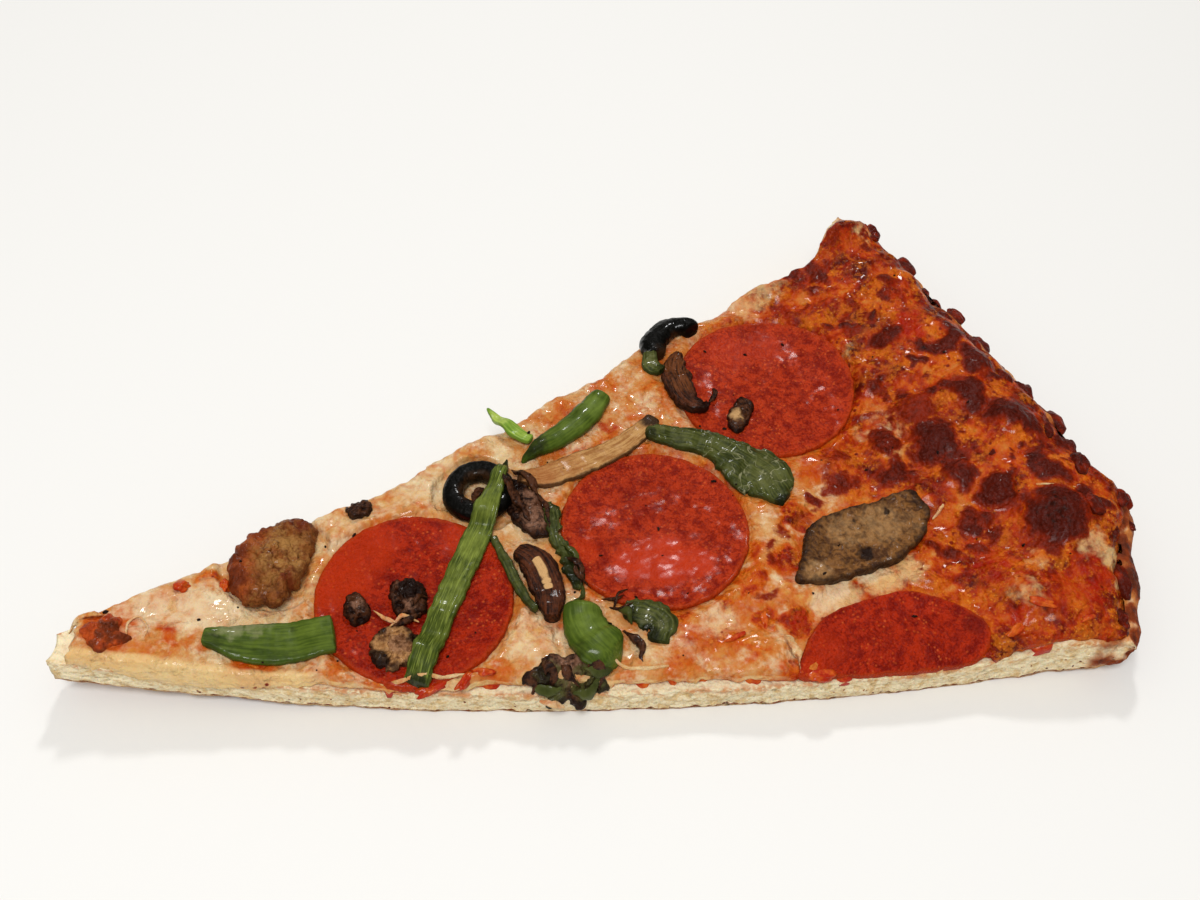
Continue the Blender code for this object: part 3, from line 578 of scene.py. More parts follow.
    def _mark(self, skin: Skin, starts: Array) -> None:
        """Marks for the finish: the cuts, how high on them, how baked, how burnt, and the underside."""
        s, t, z = skin.points.T
        number = np.arange(len(s))
        front, back, _ = FORM.cut_gaps(s, t)
        inset = FORM.rim_inset(s, t)
        edge = np.exp(-((np.minimum(front, back) / 0.8) ** 2))
        inner = number >= starts[3]
        under = ((number >= starts[1]) & (number < starts[2])).astype(float)
        low = FORM.lift(s)
        height = np.maximum(FORM.dough_top(s, t) - low, 1.0)
        patchy = NOISE.layered(s / 7.0, t / 7.0, z / 7.0)
        skin.marks["cut"] = np.where(inner, 1.0, edge * (1.0 - under))
        skin.marks["rise"] = unit((z - low) / height)
        skin.marks["under"] = under
        skin.marks["bake"] = smooth((16.0 - inset) / 10.0) * unit(0.62 + 0.5 * patchy)
        burnt = spots(s, t, self.burnt, 0.4) + 0.6 * smooth(2.2 * patchy - 0.3) * smooth((7.0 - inset) / 4.0)
        skin.marks["char"] = unit(burnt + 0.25 * NOISE.at(s / 1.4, t / 1.4, z / 1.4) * (burnt > 0.1))

    def build(self, look: Material) -> None:
        """Makes the base, and lays it in the ground."""
        skin = self.skin()
        skin.make("baked_dough_base", look, "baked_dough", ["dough"])
        GROUND.add(skin.points)


@dataclass(frozen=True)
class Layer:
    """A soft layer over the dough: a closed loop of top, walls and underside at each row along the slice."""

    rows: int
    across: int
    wall: int
    under: int
    tip_inset: float
    rim_inset: Callable[[Array], Array]
    top: Callable[[Array, Array], Array]
    bottom: Callable[[Array, Array], Array]
    cut_inset: Callable[[Array, float], Array]
    hang: Callable[[Array, float], Array]
    bulge: Callable[[Array, float], Array]
    rounding: float

    def _line(self, share: Array) -> tuple[Array, Array, Array]:
        """Rows of points across the slice at these shares, with their distance to the nearer cut."""
        angle_rim = FORM.rim_angles(share)
        start = FORM.tip_start(share) + self.tip_inset + 0.9 * NOISE.at(share * 5.0, 50.0)
        end = FORM.rim_radius(angle_rim) - self.rim_inset(angle_rim)
        along = np.linspace(0.0, 1.0, self.rows)[:, None]
        reach = start + (end - start) * along
        front = FORM.front_angle(reach) + np.degrees(self.cut_inset(reach, -1.0) / reach)
        back = FORM.back_angle(reach) - np.degrees(self.cut_inset(reach, 1.0) / reach)
        s, t = FORM.place(reach, front + (back - front) * share)
        width = np.radians(back - front) * reach
        gap = width * np.minimum(share, 1.0 - share)
        return s, t, gap

    def _wall(self, s: Array, t: Array, top: Array, low: Array, side: float) -> list[Array]:
        """The outer wall from its top edge down, then a lip that turns in under it."""
        along = np.stack([np.gradient(s), np.gradient(t)], axis=1)
        along /= np.linalg.norm(along, axis=1)[:, None]
        outward = side * np.stack([-along[:, 1], along[:, 0]], axis=1)
        reach, _ = FORM.polar(s, t)
        foot = low - self.hang(reach, side)
        out = self.bulge(reach, side)
        columns = []
        for share in np.linspace(0.0, 1.0, self.wall + 1)[1:]:
            push = out * np.sin(math.pi * min(share, 0.5)) ** 0.7 + 0.12 * NOISE.at(reach / 1.6, share * 3.0, side)
            columns.append(xyz(s + outward[:, 0] * push, t + outward[:, 1] * push, top + (foot - top) * share))
        for inwards, rise in ((0.35, -0.12), (0.9, 0.2), (1.6, 0.6)):
            push = out - inwards
            z = np.minimum(foot + rise, low)
            columns.append(xyz(s + outward[:, 0] * push, t + outward[:, 1] * push, z))
        return columns

    def skin(self) -> Skin:
        """The closed loops as one grid, capped at the tip and at the rim."""
        share = np.linspace(0.0, 1.0, self.across)
        s, t, gap = self._line(share)
        top = self.top(s, t)
        reach, _ = FORM.polar(s, t)
        ends = reach - reach[:1]
        near = np.minimum(gap, ends)
        top = top - self.rounding * quarter_round(unit(1.0 - near / 2.2))
        under_share = np.linspace(1.0, 0.0, self.under + 2)
        low_s, low_t, _ = self._line(under_share)
        low = self.bottom(low_s, low_t)
        back = self._wall(s[:, -1], t[:, -1], top[:, -1], low[:, 0], 1.0)
        front = self._wall(s[:, 0], t[:, 0], top[:, 0], low[:, -1], -1.0)
        under = xyz(low_s, low_t, low)[:, 1:-1]
        loops = np.concatenate([xyz(s, t, top), np.stack(back, axis=1), under, np.stack(front[::-1], axis=1)], axis=1)
        index = np.arange(loops[..., 0].size).reshape(loops.shape[:2])
        wall, face = np.zeros(index.shape), np.zeros(index.shape)
        wall[:, self.across : self.across + len(back)] = 1.0
        wall[:, -len(front) :] = 1.0
        face[:, : self.across] = 1.0
        faces = [grid_faces(index, closed=True), index[:1, ::-1], index[-1:]]
        return Skin(loops.reshape(-1, 3), faces, {"wall": wall.ravel(), "face": face.ravel()})


def ragged_edge(reach: Array, side: float) -> Array:
    """How far behind the cut the cheese ends: ragged noise, further back along the front cut's middle."""
    ragged = 0.7 * NOISE.layered(reach / 7.0, 20.0 + side) + 0.25 * NOISE.at(reach / 1.6, 26.0 + side)
    further = 1.5 * smooth((reach - 84.0) / 10.0) - 0.9 * smooth((reach - 150.0) / 15.0)
    tongues = 0.9 * (bell(reach, 74.0, 6.0) + bell(reach, 152.0, 6.0))
    ledge = 0.5 - 0.4 * smooth((60.0 - reach) / 20.0) + (side < 0.0) * (further - tongues)
    return np.maximum(ledge + ragged, 0.05) * smooth(reach / 15.0)


class TomatoSauce:
    """A thin red layer that shows along the cuts, oozes out of them in places and ends under the crust's cheese."""

    def _top(self, s: Array, t: Array) -> Array:
        """A little over the dough, with a slow ripple."""
        return FORM.dough_top(s, t) + 1.25 + 0.15 * NOISE.at(s / 4.0, t / 4.0)

    def _bottom(self, s: Array, t: Array) -> Array:
        """Just in the dough, so that no gap shows."""
        return FORM.dough_top(s, t) - 0.1

    def _ooze(self, reach: Array, side: float) -> Array:
        """1 where the sauce comes out of the cut and 0 elsewhere, by slow noise."""
        return smooth(2.4 * NOISE.layered(reach / 6.0, 3.0 + side) - 0.25) * smooth((reach - 20.0) / 20.0)

    def _cut_inset(self, reach: Array, side: float) -> Array:
        """Just behind the cheese's edge, and level with it where the sauce comes out."""
        return np.maximum(ragged_edge(reach, side) + 0.5 - 0.7 * self._ooze(reach, side), 0.1)

    def _hang(self, reach: Array, side: float) -> Array:
        """Drips where it comes out."""
        return 0.1 + 1.3 * self._ooze(reach, side)

    def _bulge(self, reach: Array, side: float) -> Array:
        """Swollen a little past its edge."""
        return 0.15 + 0.5 * self._ooze(reach, side)

    def build(self, look: Material) -> None:
        """Makes the layer."""
        layer = Layer(
            rows=420, across=30, wall=6, under=20, tip_inset=5.4, rounding=0.3,
            rim_inset=lambda angle: np.full_like(angle, 13.0), top=self._top, bottom=self._bottom,
            cut_inset=self._cut_inset, hang=self._hang, bulge=self._bulge,
        )
        skin = layer.skin()
        skin.push(0.1 * NOISE.layered(*(skin.points / 1.3).T, octaves=2))
        skin.make("tomato_sauce_layer", look, "tomato_sauce", ["tomato_sauce"])


class MeltedCheese:
    """The melted cheese, with its blisters, its orange and red patches and its edges over the cuts."""

    rounds: tuple = ((73, -6.7, 20.6), (126.9, -5.3, 20.6), (166.4, 25.2, 21.1), (163.5, -57.5, 21.6))
    bubble: tuple = (194.5, -46.6, 4.6)
    brown_spots: tuple = (
        (195.1, -4.6, 5.4, 1), (184, -7.9, 3.4, 0.8), (185.1, 0.1, 3.8, 0.75), (171.1, -6.2, 2.1, 0.7),
        (209, -33, 6.6, 1), (212, -36.8, 2.6, 0.75), (195.8, -14.5, 3.7, 0.85), (201.6, -22.5, 3.8, 0.9),
        (193.6, -26, 2.9, 0.75), (196.5, -31.1, 2, 0.7), (211.8, -19, 2.4, 0.95), (206.6, 5.2, 3.6, 0.95),
        (207.9, 1.4, 3, 0.95), (204, 7.6, 2.2, 0.85), (212.4, -5, 4.6, 0.95), (216, -9.5, 3, 0.95),
        (213.3, 11, 4, 0.9), (210, 18.7, 3.6, 0.85), (212.7, 21, 2.6, 0.9), (215.4, 62.9, 2.4, 0.9),
        (206.1, 41.9, 2.6, 0.75), (203, 37.7, 1.8, 0.7), (197.6, 26.4, 2.5, 0.85), (205.7, 19.2, 1.5, 0.95),
        (189, 15.6, 2.6, 0.75), (194.3, 5.2, 4.6, 0.55), (201.4, 16.2, 1.6, 0.9), (200.2, 6.7, 1.6, 0.85),
        (191, 52.1, 2.6, 0.7), (184, 56.5, 2.2, 0.55), (198.5, 60, 2, 0.5), (206, 55, 2, 0.6),
        (214, -23.3, 3, 0.9), (218, -29.5, 2.8, 0.85), (219.2, -34, 2.2, 0.85), (222, -16, 3.2, 0.9),
        (205.3, -38, 3.4, 0.6), (147.8, -18.7, 1.9, 0.55), (143.2, -27.9, 2, 0.5), (162.9, -9.2, 2.3, 0.6),
        (169.5, -7, 2.6, 0.5), (175, 1.5, 2.2, 0.5), (179, 12, 1.7, 0.6), (186.5, 9.5, 1.6, 0.5),
        (152, -14.5, 2.2, 0.45),
    )
    black_spots: tuple = (
        (208, -31.5, 4.6, 0.7), (213, -5.2, 3.2, 0.55), (212, 19.5, 2.4, 0.6), (206.9, 4.4, 2.6, 0.45),
        (211.8, -19, 1.8, 0.7), (195.3, -4.8, 3.6, 0.3), (205.7, 19.2, 1, 0.7), (224.5, -9.5, 3.4, 0.8),
        (217.5, -30.5, 1.9, 0.6),
    )
    pale_spots: tuple = (
        (158.5, -32.3, 5, 1), (154.2, -33.4, 2.8, 1), (168.6, -31.4, 4.4, 1), (175.5, -31.5, 4, 0.9),
        (173.1, 52.5, 6, 0.75), (178.5, 54, 5, 0.7), (151, 36.5, 4.5, 0.7), (152, 28.5, 4.5, 0.7),
        (157, 44, 4, 0.6), (131.5, -31.1, 4, 0.8), (117, -33.5, 4.5, 0.3), (213, -41.5, 3.6, 0.8),
        (194.5, -46.6, 3.8, 0.5), (216, -45.5, 2.6, 0.9), (215.6, -50.5, 2.4, 0.7), (208, 60, 3.4, 0.5),
        (211, 63.5, 2.4, 0.6), (200, -40.5, 3.2, 0.5), (187.7, 7.1, 4.2, 0.45), (183, 4.5, 2.6, 0.5),
        (189.5, 2.5, 3, 0.45), (22, 5, 5, 0.9), (29.5, 2.6, 6, 0.9), (36, 1, 5, 0.8), (33, 7, 3, 0.6),
        (63.5, 11.1, 6, 0.6), (81, 19.9, 6, 0.6), (94.5, -24.2, 6, 0.6), (142, -38.5, 3.4, 0.4),
        (135.5, 41.5, 3, 0.6), (188.5, 28, 3, 0.3), (143.5, 14, 4, 0.5), (137, 29, 4, 0.4),
    )
    warm_spots: tuple = (
        (128, -34, 5, 0.42), (123, -36, 7, 0.44), (111, -37, 5, 0.4), (104, -24, 4, 0.36), (135, -34, 5, 0.46),
        (137, -38, 5, 0.55), (133, -22, 4, 0.5), (141, -24, 4.4, 0.6), (118, -30, 3, 0.4), (127, -27, 3.5, 0.5),
        (12.5, 0, 5.4, 0.5), (18.6, 1.4, 3.2, 0.4), (24, -1, 2.4, 0.5), (30, -5, 3, 0.45), (26, 4, 2, 0.45),
        (11, 4.6, 3, 0.5), (60, -26, 4, 0.4), (52, -17, 5, 0.42), (84, -29, 4, 0.42), (112, 22, 4, 0.42),
        (128, 24, 3, 0.5), (199.3, 49.1, 7, 0.9), (192.2, 39.2, 7, 0.85), (196.1, 20.2, 7, 0.8),
        (194.9, 30, 8, 0.9), (143.4, 37.9, 3, 0.55), (139.6, 34.2, 3.6, 0.5), (135.5, 36.5, 2.6, 0.45),
        (24.3, -3.7, 2.2, 0.42), (38.1, -13.3, 5, 0.6), (33.7, 9.2, 2.8, 0.55), (80.7, 15.4, 1.5, 0.55),
        (44.5, 3, 3, 0.4), (196.5, -47.5, 6.4, 0.7), (190.8, -38.5, 6, 0.8), (146.5, -36, 3.6, 0.9),
        (140.4, -33.9, 3.4, 0.8), (134, -27.5, 3, 0.6), (163, -32.8, 2.4, 0.7), (185.5, -53.4, 5, 0.8),
        (187, -31.5, 5, 0.75), (157.5, -11.5, 4.4, 0.7), (150.5, -21.5, 4.4, 0.7), (99, -21, 3, 0.4),
    )
    red_spots: tuple = (
        (12.6, 0.6, 4.6, 0.55), (126.4, 24.6, 2.4, 0.8), (119, 31, 2.2, 0.5), (137.4, -30.4, 2.4, 0.5),
        (133, -37.6, 2.4, 0.5), (204, 27.2, 5, 0.8), (199, 34, 4, 0.5), (205.4, -50, 6, 0.65),
        (199.5, -52, 4, 0.6), (190, -51.5, 3, 0.6), (190.8, -38.5, 4.6, 0.7), (192.5, -33, 4, 0.6),
        (147, -36.5, 2.6, 0.9), (151, -25.5, 3.2, 0.6), (200, -12, 3.6, 0.2), (186.5, -25, 3.8, 0.5),
        (210.5, -47.5, 4, 0.6), (28.4, 8.7, 1.8, 0.8), (120.5, 14.5, 2.6, 0.4), (181, -1, 2.5, 0.3),
    )

    def _rim_inset(self, angle: Array) -> Array:
        """Ragged along the rim, and further in where the striped dough shows at the front corner."""
        bays = 2.8 * bell(angle, -12.5, 3.0) + 1.6 * bell(angle, 5.5, 3.0)
        return 2.6 + bays + 0.6 * np.sin(angle * 1.9) + NOISE.layered(angle * 0.9, 4.0)

    def _bent(self, s: Array, t: Array) -> tuple[Array, Array]:
        """The places shifted about by noise, so that round spots come out irregular."""
        bend_s = 2.6 * NOISE.layered(s / 6.0, t / 6.0, 1.0)
        bend_t = 2.6 * NOISE.layered(s / 6.0, t / 6.0, 9.0)
        return s + bend_s, t + bend_t

    def _blisters(self, s: Array, t: Array) -> Array:
        """How blistered each point is: the named spots, and small ones strewn over the crust's side."""
        bent_s, bent_t = self._bent(s, t)
        strewn = smooth((0.46 - NOISE.cells(bent_s / 4.8, bent_t / 3.9, 7.0)) / 0.2)
        tiny = smooth((0.4 - NOISE.cells(bent_s / 2.6, bent_t / 2.2, 3.0)) / 0.2)
        front = smooth((s - 178.0 + t) / 12.0) * smooth((-22.0 - t) / 10.0)
        region = smooth((s - 160.0) / 24.0) * smooth(1.9 * NOISE.layered(s / 13.0, t / 13.0, 21.0) + 0.45)
        region = region * (1.0 - 0.85 * smooth((-30.0 - t) / 8.0)) * (1.0 - FORM.bed_cover(s, t))
        named = spots(bent_s, bent_t, self.brown_spots, 0.4)
        return np.maximum(named, region * (1.0 - 0.4 * front) * np.maximum(0.85 * strewn, 0.6 * tiny))

    def _top(self, s: Array, t: Array) -> Array:
        """The shared form with fine relief, and sunk into the dough at the rim."""
        inset = FORM.rim_inset(s, t)
        cover = FORM.bed_cover(s, t)
        crust = smooth((s - 160.0) / 30.0)
        relief = (0.45 - 0.3 * cover) * NOISE.layered(s / 5.0, t / 5.0, 2.0, 2)
        relief += (0.16 + 0.12 * crust) * (1.0 - 0.5 * cover) * NOISE.layered(s / 2.3, t / 2.3, 5.0, 2)
        relief += 1.3 * bell(np.hypot(s - self.bubble[0], t - self.bubble[1]), 0.0, self.bubble[2])
        blister = self._blisters(s, t)
        relief += blister * (0.5 + 0.3 * NOISE.layered(s / 1.3, t / 1.3, 8.0, 2)) * (1.0 - cover)
        rims = sum(1.15 * bell(np.hypot(s - a, t - b), r + 1.5, 1.3) for a, b, r in self.rounds[:3])
        rims = rims * (0.75 + 0.5 * NOISE.at(s / 5.0, t / 5.0, 14.0))
        top = FORM.cheese_top(s, t) + relief + rims
        dough = FORM.dough_top(s, t)
        edge = smooth((inset - self._rim_inset(FORM.polar(s, t)[1])) / 2.4)
        top = np.maximum(top, dough + 1.6)
        return dough + 0.1 + (top - dough - 0.1) * edge

    def _bottom(self, s: Array, t: Array) -> Array:
        """On the sauce, and in the dough beyond the sauce."""
        return FORM.dough_top(s, t) + 1.15 - 1.6 * smooth((20.0 - FORM.rim_inset(s, t)) / 6.0)

    def _tongue(self, reach: Array, side: float) -> Array:
        """1 where a tongue of cheese hangs over the cut and 0 elsewhere, by slow noise."""
        return smooth(2.2 * NOISE.layered(reach / 7.0, 31.0 + side) - 0.35)

    def _hang(self, reach: Array, side: float) -> Array:
        """Tongues that run down over the cut."""
        tongue = self._tongue(reach, side)
        near_tip = 3.4 * bell(reach, 34.0, 17.0) * (side < 0.0)
        return 0.1 + 1.9 * tongue * smooth((reach - 14.0) / 14.0) * (1.0 - 0.2 * near_tip) + near_tip

    def _bulge(self, reach: Array, side: float) -> Array:
        """How far the wall swells beyond the cut: more where a tongue hangs."""
        near_tip = 0.6 * bell(reach, 34.0, 17.0) * (side < 0.0)
        return 0.2 + 0.7 * self._tongue(reach, side) + 0.25 * NOISE.at(reach / 3.0, 40.0 + side) + near_tip

    def skin(self) -> Skin:
        """The layer's closed loops with the marks of its finish."""
        layer = Layer(
            rows=402, across=190, wall=10, under=24, tip_inset=4.2, rounding=1.3, rim_inset=self._rim_inset,
            top=self._top, bottom=self._bottom, cut_inset=ragged_edge, hang=self._hang, bulge=self._bulge,
        )
        skin = layer.skin()
        wall = skin.marks["wall"]
        skin.push(wall * 0.16 * NOISE.layered(*(skin.points / 1.5).T, octaves=2))
        s, t, _ = skin.points.T
        ws = s + 1.3 * NOISE.layered(s / 3.2, t / 3.2, 1.0, 2)
        wt = t + 1.3 * NOISE.layered(s / 3.2, t / 3.2, 9.0, 2)
        patchy = NOISE.layered(s / 9.0, t / 9.0, 12.0)
        # Warmer from the middle to the crust, at the tip, along the rim and round each slice of pepperoni.
        heat = 0.12 + 0.22 * smooth((s - 85.0) / 45.0) + 0.18 * smooth((34.0 - s) / 16.0)
        heat += 0.34 * smooth((s - 160.0) / 24.0) + 0.2 * patchy
        heat += 0.14 * smooth((s - 185.0) / 20.0) * smooth((-28.0 - t) / 12.0)
        heat += 0.16 * smooth((11.0 - FORM.rim_inset(s, t)) / 6.0)
        heat += sum(0.13 * bell(np.hypot(s - a, t - b), r + 1.0, 3.2) for a, b, r in self.rounds)
        heat = np.maximum(heat, spots(ws, wt, self.warm_spots, 0.5) + 0.12 * patchy)
        skin.marks["baked"] = unit(heat)
        skin.marks["pale"] = spots(ws, wt, self.pale_spots, 0.5)
        skin.marks["red"] = spots(ws, wt, self.red_spots, 0.5)
        skin.marks["brown"] = self._blisters(s, t) * skin.marks["face"]
        skin.marks["char"] = spots(*self._bent(s, t), self.black_spots, 0.5)
        front, _, reach = FORM.cut_gaps(s, t)
        skin.marks["bare"] = smooth((3.2 + patchy - front) / 2.4) * smooth((66.0 - reach) / 12.0)
        return skin

    def build(self, look: Material) -> None:
        """Lays the layer in the ground, presses it down under the rounds, and makes it."""
        skin = self.skin()
        face = skin.marks["face"] > 0.5
        GROUND.add(skin.points[face])
        GROUND.settle()
        s, t, z = skin.points[face].T
        pressed = sum(smooth((r - 1.4 - np.hypot(s - a, t - b)) / 1.2) for a, b, r in self.rounds)
        skin.points[face, 2] = np.maximum(z - 1.2 * pressed, np.minimum(z, self._bottom(s, t) + 0.3))
        skin.make("melted_cheese_layer", look, "melted_cheese", ["melted_cheese"])


def curve_through(knots: Sequence[tuple], count: int, closed: bool = False, steps: int = 24) -> Array:
    """A smooth curve through some points, at equal steps: between two knots, Catmull and Rom's cubic."""
    knots = np.array(knots, float)
    if closed:
        turn = knots[:, 0] * np.roll(knots[:, 1], -1) - np.roll(knots[:, 0], -1) * knots[:, 1]
        knots = knots[::-1] if turn.sum() < 0.0 else knots
        padded = np.concatenate([knots[-1:], knots, knots[:2]])
    else:
        padded = np.concatenate([2.0 * knots[:1] - knots[1:2], knots, 2.0 * knots[-1:] - knots[-2:-1]])
    u = (np.arange(steps) / steps)[None, :, None]
    a, b, c, d = (padded[k : len(padded) - 3 + k, None] for k in range(4))
    dense = b + 0.5 * u * (c - a + u * (2 * a - 5 * b + 4 * c - d + u * (3 * (b - c) + d - a)))
    dense = np.concatenate([dense.reshape(-1, knots.shape[1]), padded[-2:-1]])
    length = np.concatenate([[0.0], np.cumsum(np.linalg.norm(np.diff(dense, axis=0), axis=1))])
    wanted = np.linspace(0.0, length[-1], count + 1)[:-1] if closed else np.linspace(0.0, length[-1], count)
    return np.stack([np.interp(wanted, length, dense[:, k]) for k in range(knots.shape[1])], axis=1)


def flat_over(points: Array, heights: Array, clear: float) -> Array:
    """The heights of the flat sheet that fits these best, raised until this share of the points is clear."""
    terms = np.column_stack([points, np.ones(len(points))])
    fit = np.linalg.lstsq(terms, heights, rcond=None)[0]
    return terms @ fit + np.quantile(heights - terms @ fit, clear)


class Look(Enum):
    """The finishes that a topping may have: the material's name, and the record's slot that it belongs to."""

    BRIGHT_PEPPERONI = ("pepperoni_bright_finish", "pepperoni_bright")
    DEEP_PEPPERONI = ("pepperoni_deep_finish", "pepperoni_deep")
    SAUSAGE = ("sausage_finish", "sausage")
    RED_SAUSAGE = ("sausage_red_finish", "sausage")
    GREY_MUSHROOM = ("mushroom_grey_finish", "mushroom_grey")
    DARK_MUSHROOM = ("mushroom_dark_finish", "mushroom_dark")
    DARK_CURL = ("mushroom_curl_finish", "mushroom_dark")
    TAN_MUSHROOM = ("mushroom_tan_finish", "mushroom_tan")
    TAN_STEM = ("mushroom_stem_finish", "mushroom_tan")
    OLIVE = ("black_olive_finish", "black_olive")
    GREEN_PEPPER = ("pepper_green_finish", "pepper_green")
    SMOOTH_PEPPER = ("pepper_smooth_finish", "pepper_green")
    SOFT_PEPPER = ("pepper_soft_finish", "pepper_soft")
    PALE_PEPPER = ("pepper_pale_finish", "pepper_pale")

    @property
    def finish(self) -> str:
        """The material's name."""
        return self.value[0]

    @property
    def slot(self) -> str:
        """The record's slot."""
        return self.value[1]


class Laid:
    """What chips and strips share: painted with spots, then laid on the ground in their node's place."""

    def lay(self, material: Material, slot: str, places: dict[str, Sequence[Spot]]) -> None:
        """Makes the piece with a mark for each named set of spots, and adds it to the ground."""
        skin = self.skin()
        s, t, _ = skin.points.T
        ws = s + 0.7 * NOISE.layered(s / 2.0, t / 2.0, 3.0, 2)
        wt = t + 0.7 * NOISE.layered(s / 2.0, t / 2.0, 6.0, 2)
        for key, found in places.items():
            skin.marks[key] = spots(ws, wt, found, 0.5)
        skin.make(self.name + "_piece", material, slot, [self.name])
        GROUND.add(skin.points[skin.marks["top"] > 0.4])


@dataclass(frozen=True)
class Chip(Laid):
    """A flat or domed piece with a closed outline: rings drawn in from the outline to a middle point.

    The underside follows the blurred ground, or a flat sheet where the piece is stiff. The top is the
    underside plus the thickness, a dome that falls with the square of the way out, and noise.
    """

    name: str
    outline: tuple
    thickness: float
    rings: int = 30
    around: int = 150
    dome: float = 0.0
    stiff: bool = False
    flex: float = 2.0
    sink: float = 0.35
    wobble: float = 0.5
    wobble_size: float = 3.2
    rough: float = 0.5
    rough_size: float = 2.4
    grain: float = 0.06
    grain_size: float = 0.7
    nuggets: float = 0.0
    nugget_size: float = 2.6
    crease: float = 0.0
    crease_size: float = 2.4
    curl: float = 0.0
    edge: float = 0.6
    side_steps: int = 11
    under_rings: int = 9
    under_hole: float = 0.12
    top_hole: float = 0.03
    seed: float = 0.0

    def skin(self) -> Skin:
        """The rings as one grid, closed by a middle point above and one below."""
        line = curve_through(self.outline, self.around, closed=True)
        centre = line.mean(axis=0)
        arm = line - centre
        size = np.linalg.norm(arm, axis=1)
        ripple = self.wobble * NOISE.layered(
            line[:, 0] / self.wobble_size, line[:, 1] / self.wobble_size, self.seed + 3.0
        )
        arm = arm * (1.0 + ripple / size)[:, None]
        mean = size.mean()
        turn = np.linspace(0.0, math.pi, self.side_steps)
        side = np.stack([1.0 - self.edge * (1.0 - np.sin(turn)) / mean, 0.5 - 0.5 * np.cos(turn)], axis=1)
        under = np.linspace(side[0, 0], self.under_hole, self.under_rings)[:0:-1]
        over = np.linspace(side[-1, 0], self.top_hole, self.rings)[1:]
        scale = np.concatenate([under, side[:, 0], over])
        level = np.concatenate([np.zeros(len(under)), side[:, 1], np.ones(len(over))])
        spot = centre + scale[:, None, None] * arm
        s, t = spot[..., 0], spot[..., 1]
        ground = GROUND.soft(self.flex).at(s, t)
        if self.stiff:
            ground = flat_over(spot.reshape(-1, 2), ground.ravel(), 0.75).reshape(ground.shape)
        relief = self.rough * NOISE.layered(s / self.rough_size, t / self.rough_size, self.seed + 5.0)
        relief += self.grain * NOISE.layered(s / self.grain_size, t / self.grain_size, self.seed + 8.0, 2)
        out = unit(scale)[:, None] ** 2
        thick = self.thickness + relief + self.dome * (1.0 - out)
        z = ground - self.sink + level[:, None] * thick + self.curl * out**2
        skin = capped(xyz(s, t, z))
        rim = np.append(np.repeat(scale, self.around), [0.0, 0.0])
        skin.marks["rim"] = unit(rim)
        skin.marks["top"] = np.append(np.repeat(level, self.around), [0.0, 1.0])
        if self.nuggets:
            x, y, h = (skin.points / self.nugget_size).T
            lumps = 0.55 - NOISE.cells(x, y, h + self.seed)
            lumps += 0.35 * (0.5 - NOISE.cells(2.3 * x, 2.3 * y, 2.3 * h + self.seed))
            skin.push(self.nuggets * lumps)
        if self.crease:
            x, y, h = (skin.points / self.crease_size).T
            skin.push(self.crease * (0.45 - np.abs(NOISE.layered(x, y, h + self.seed, 2))))
        return skin


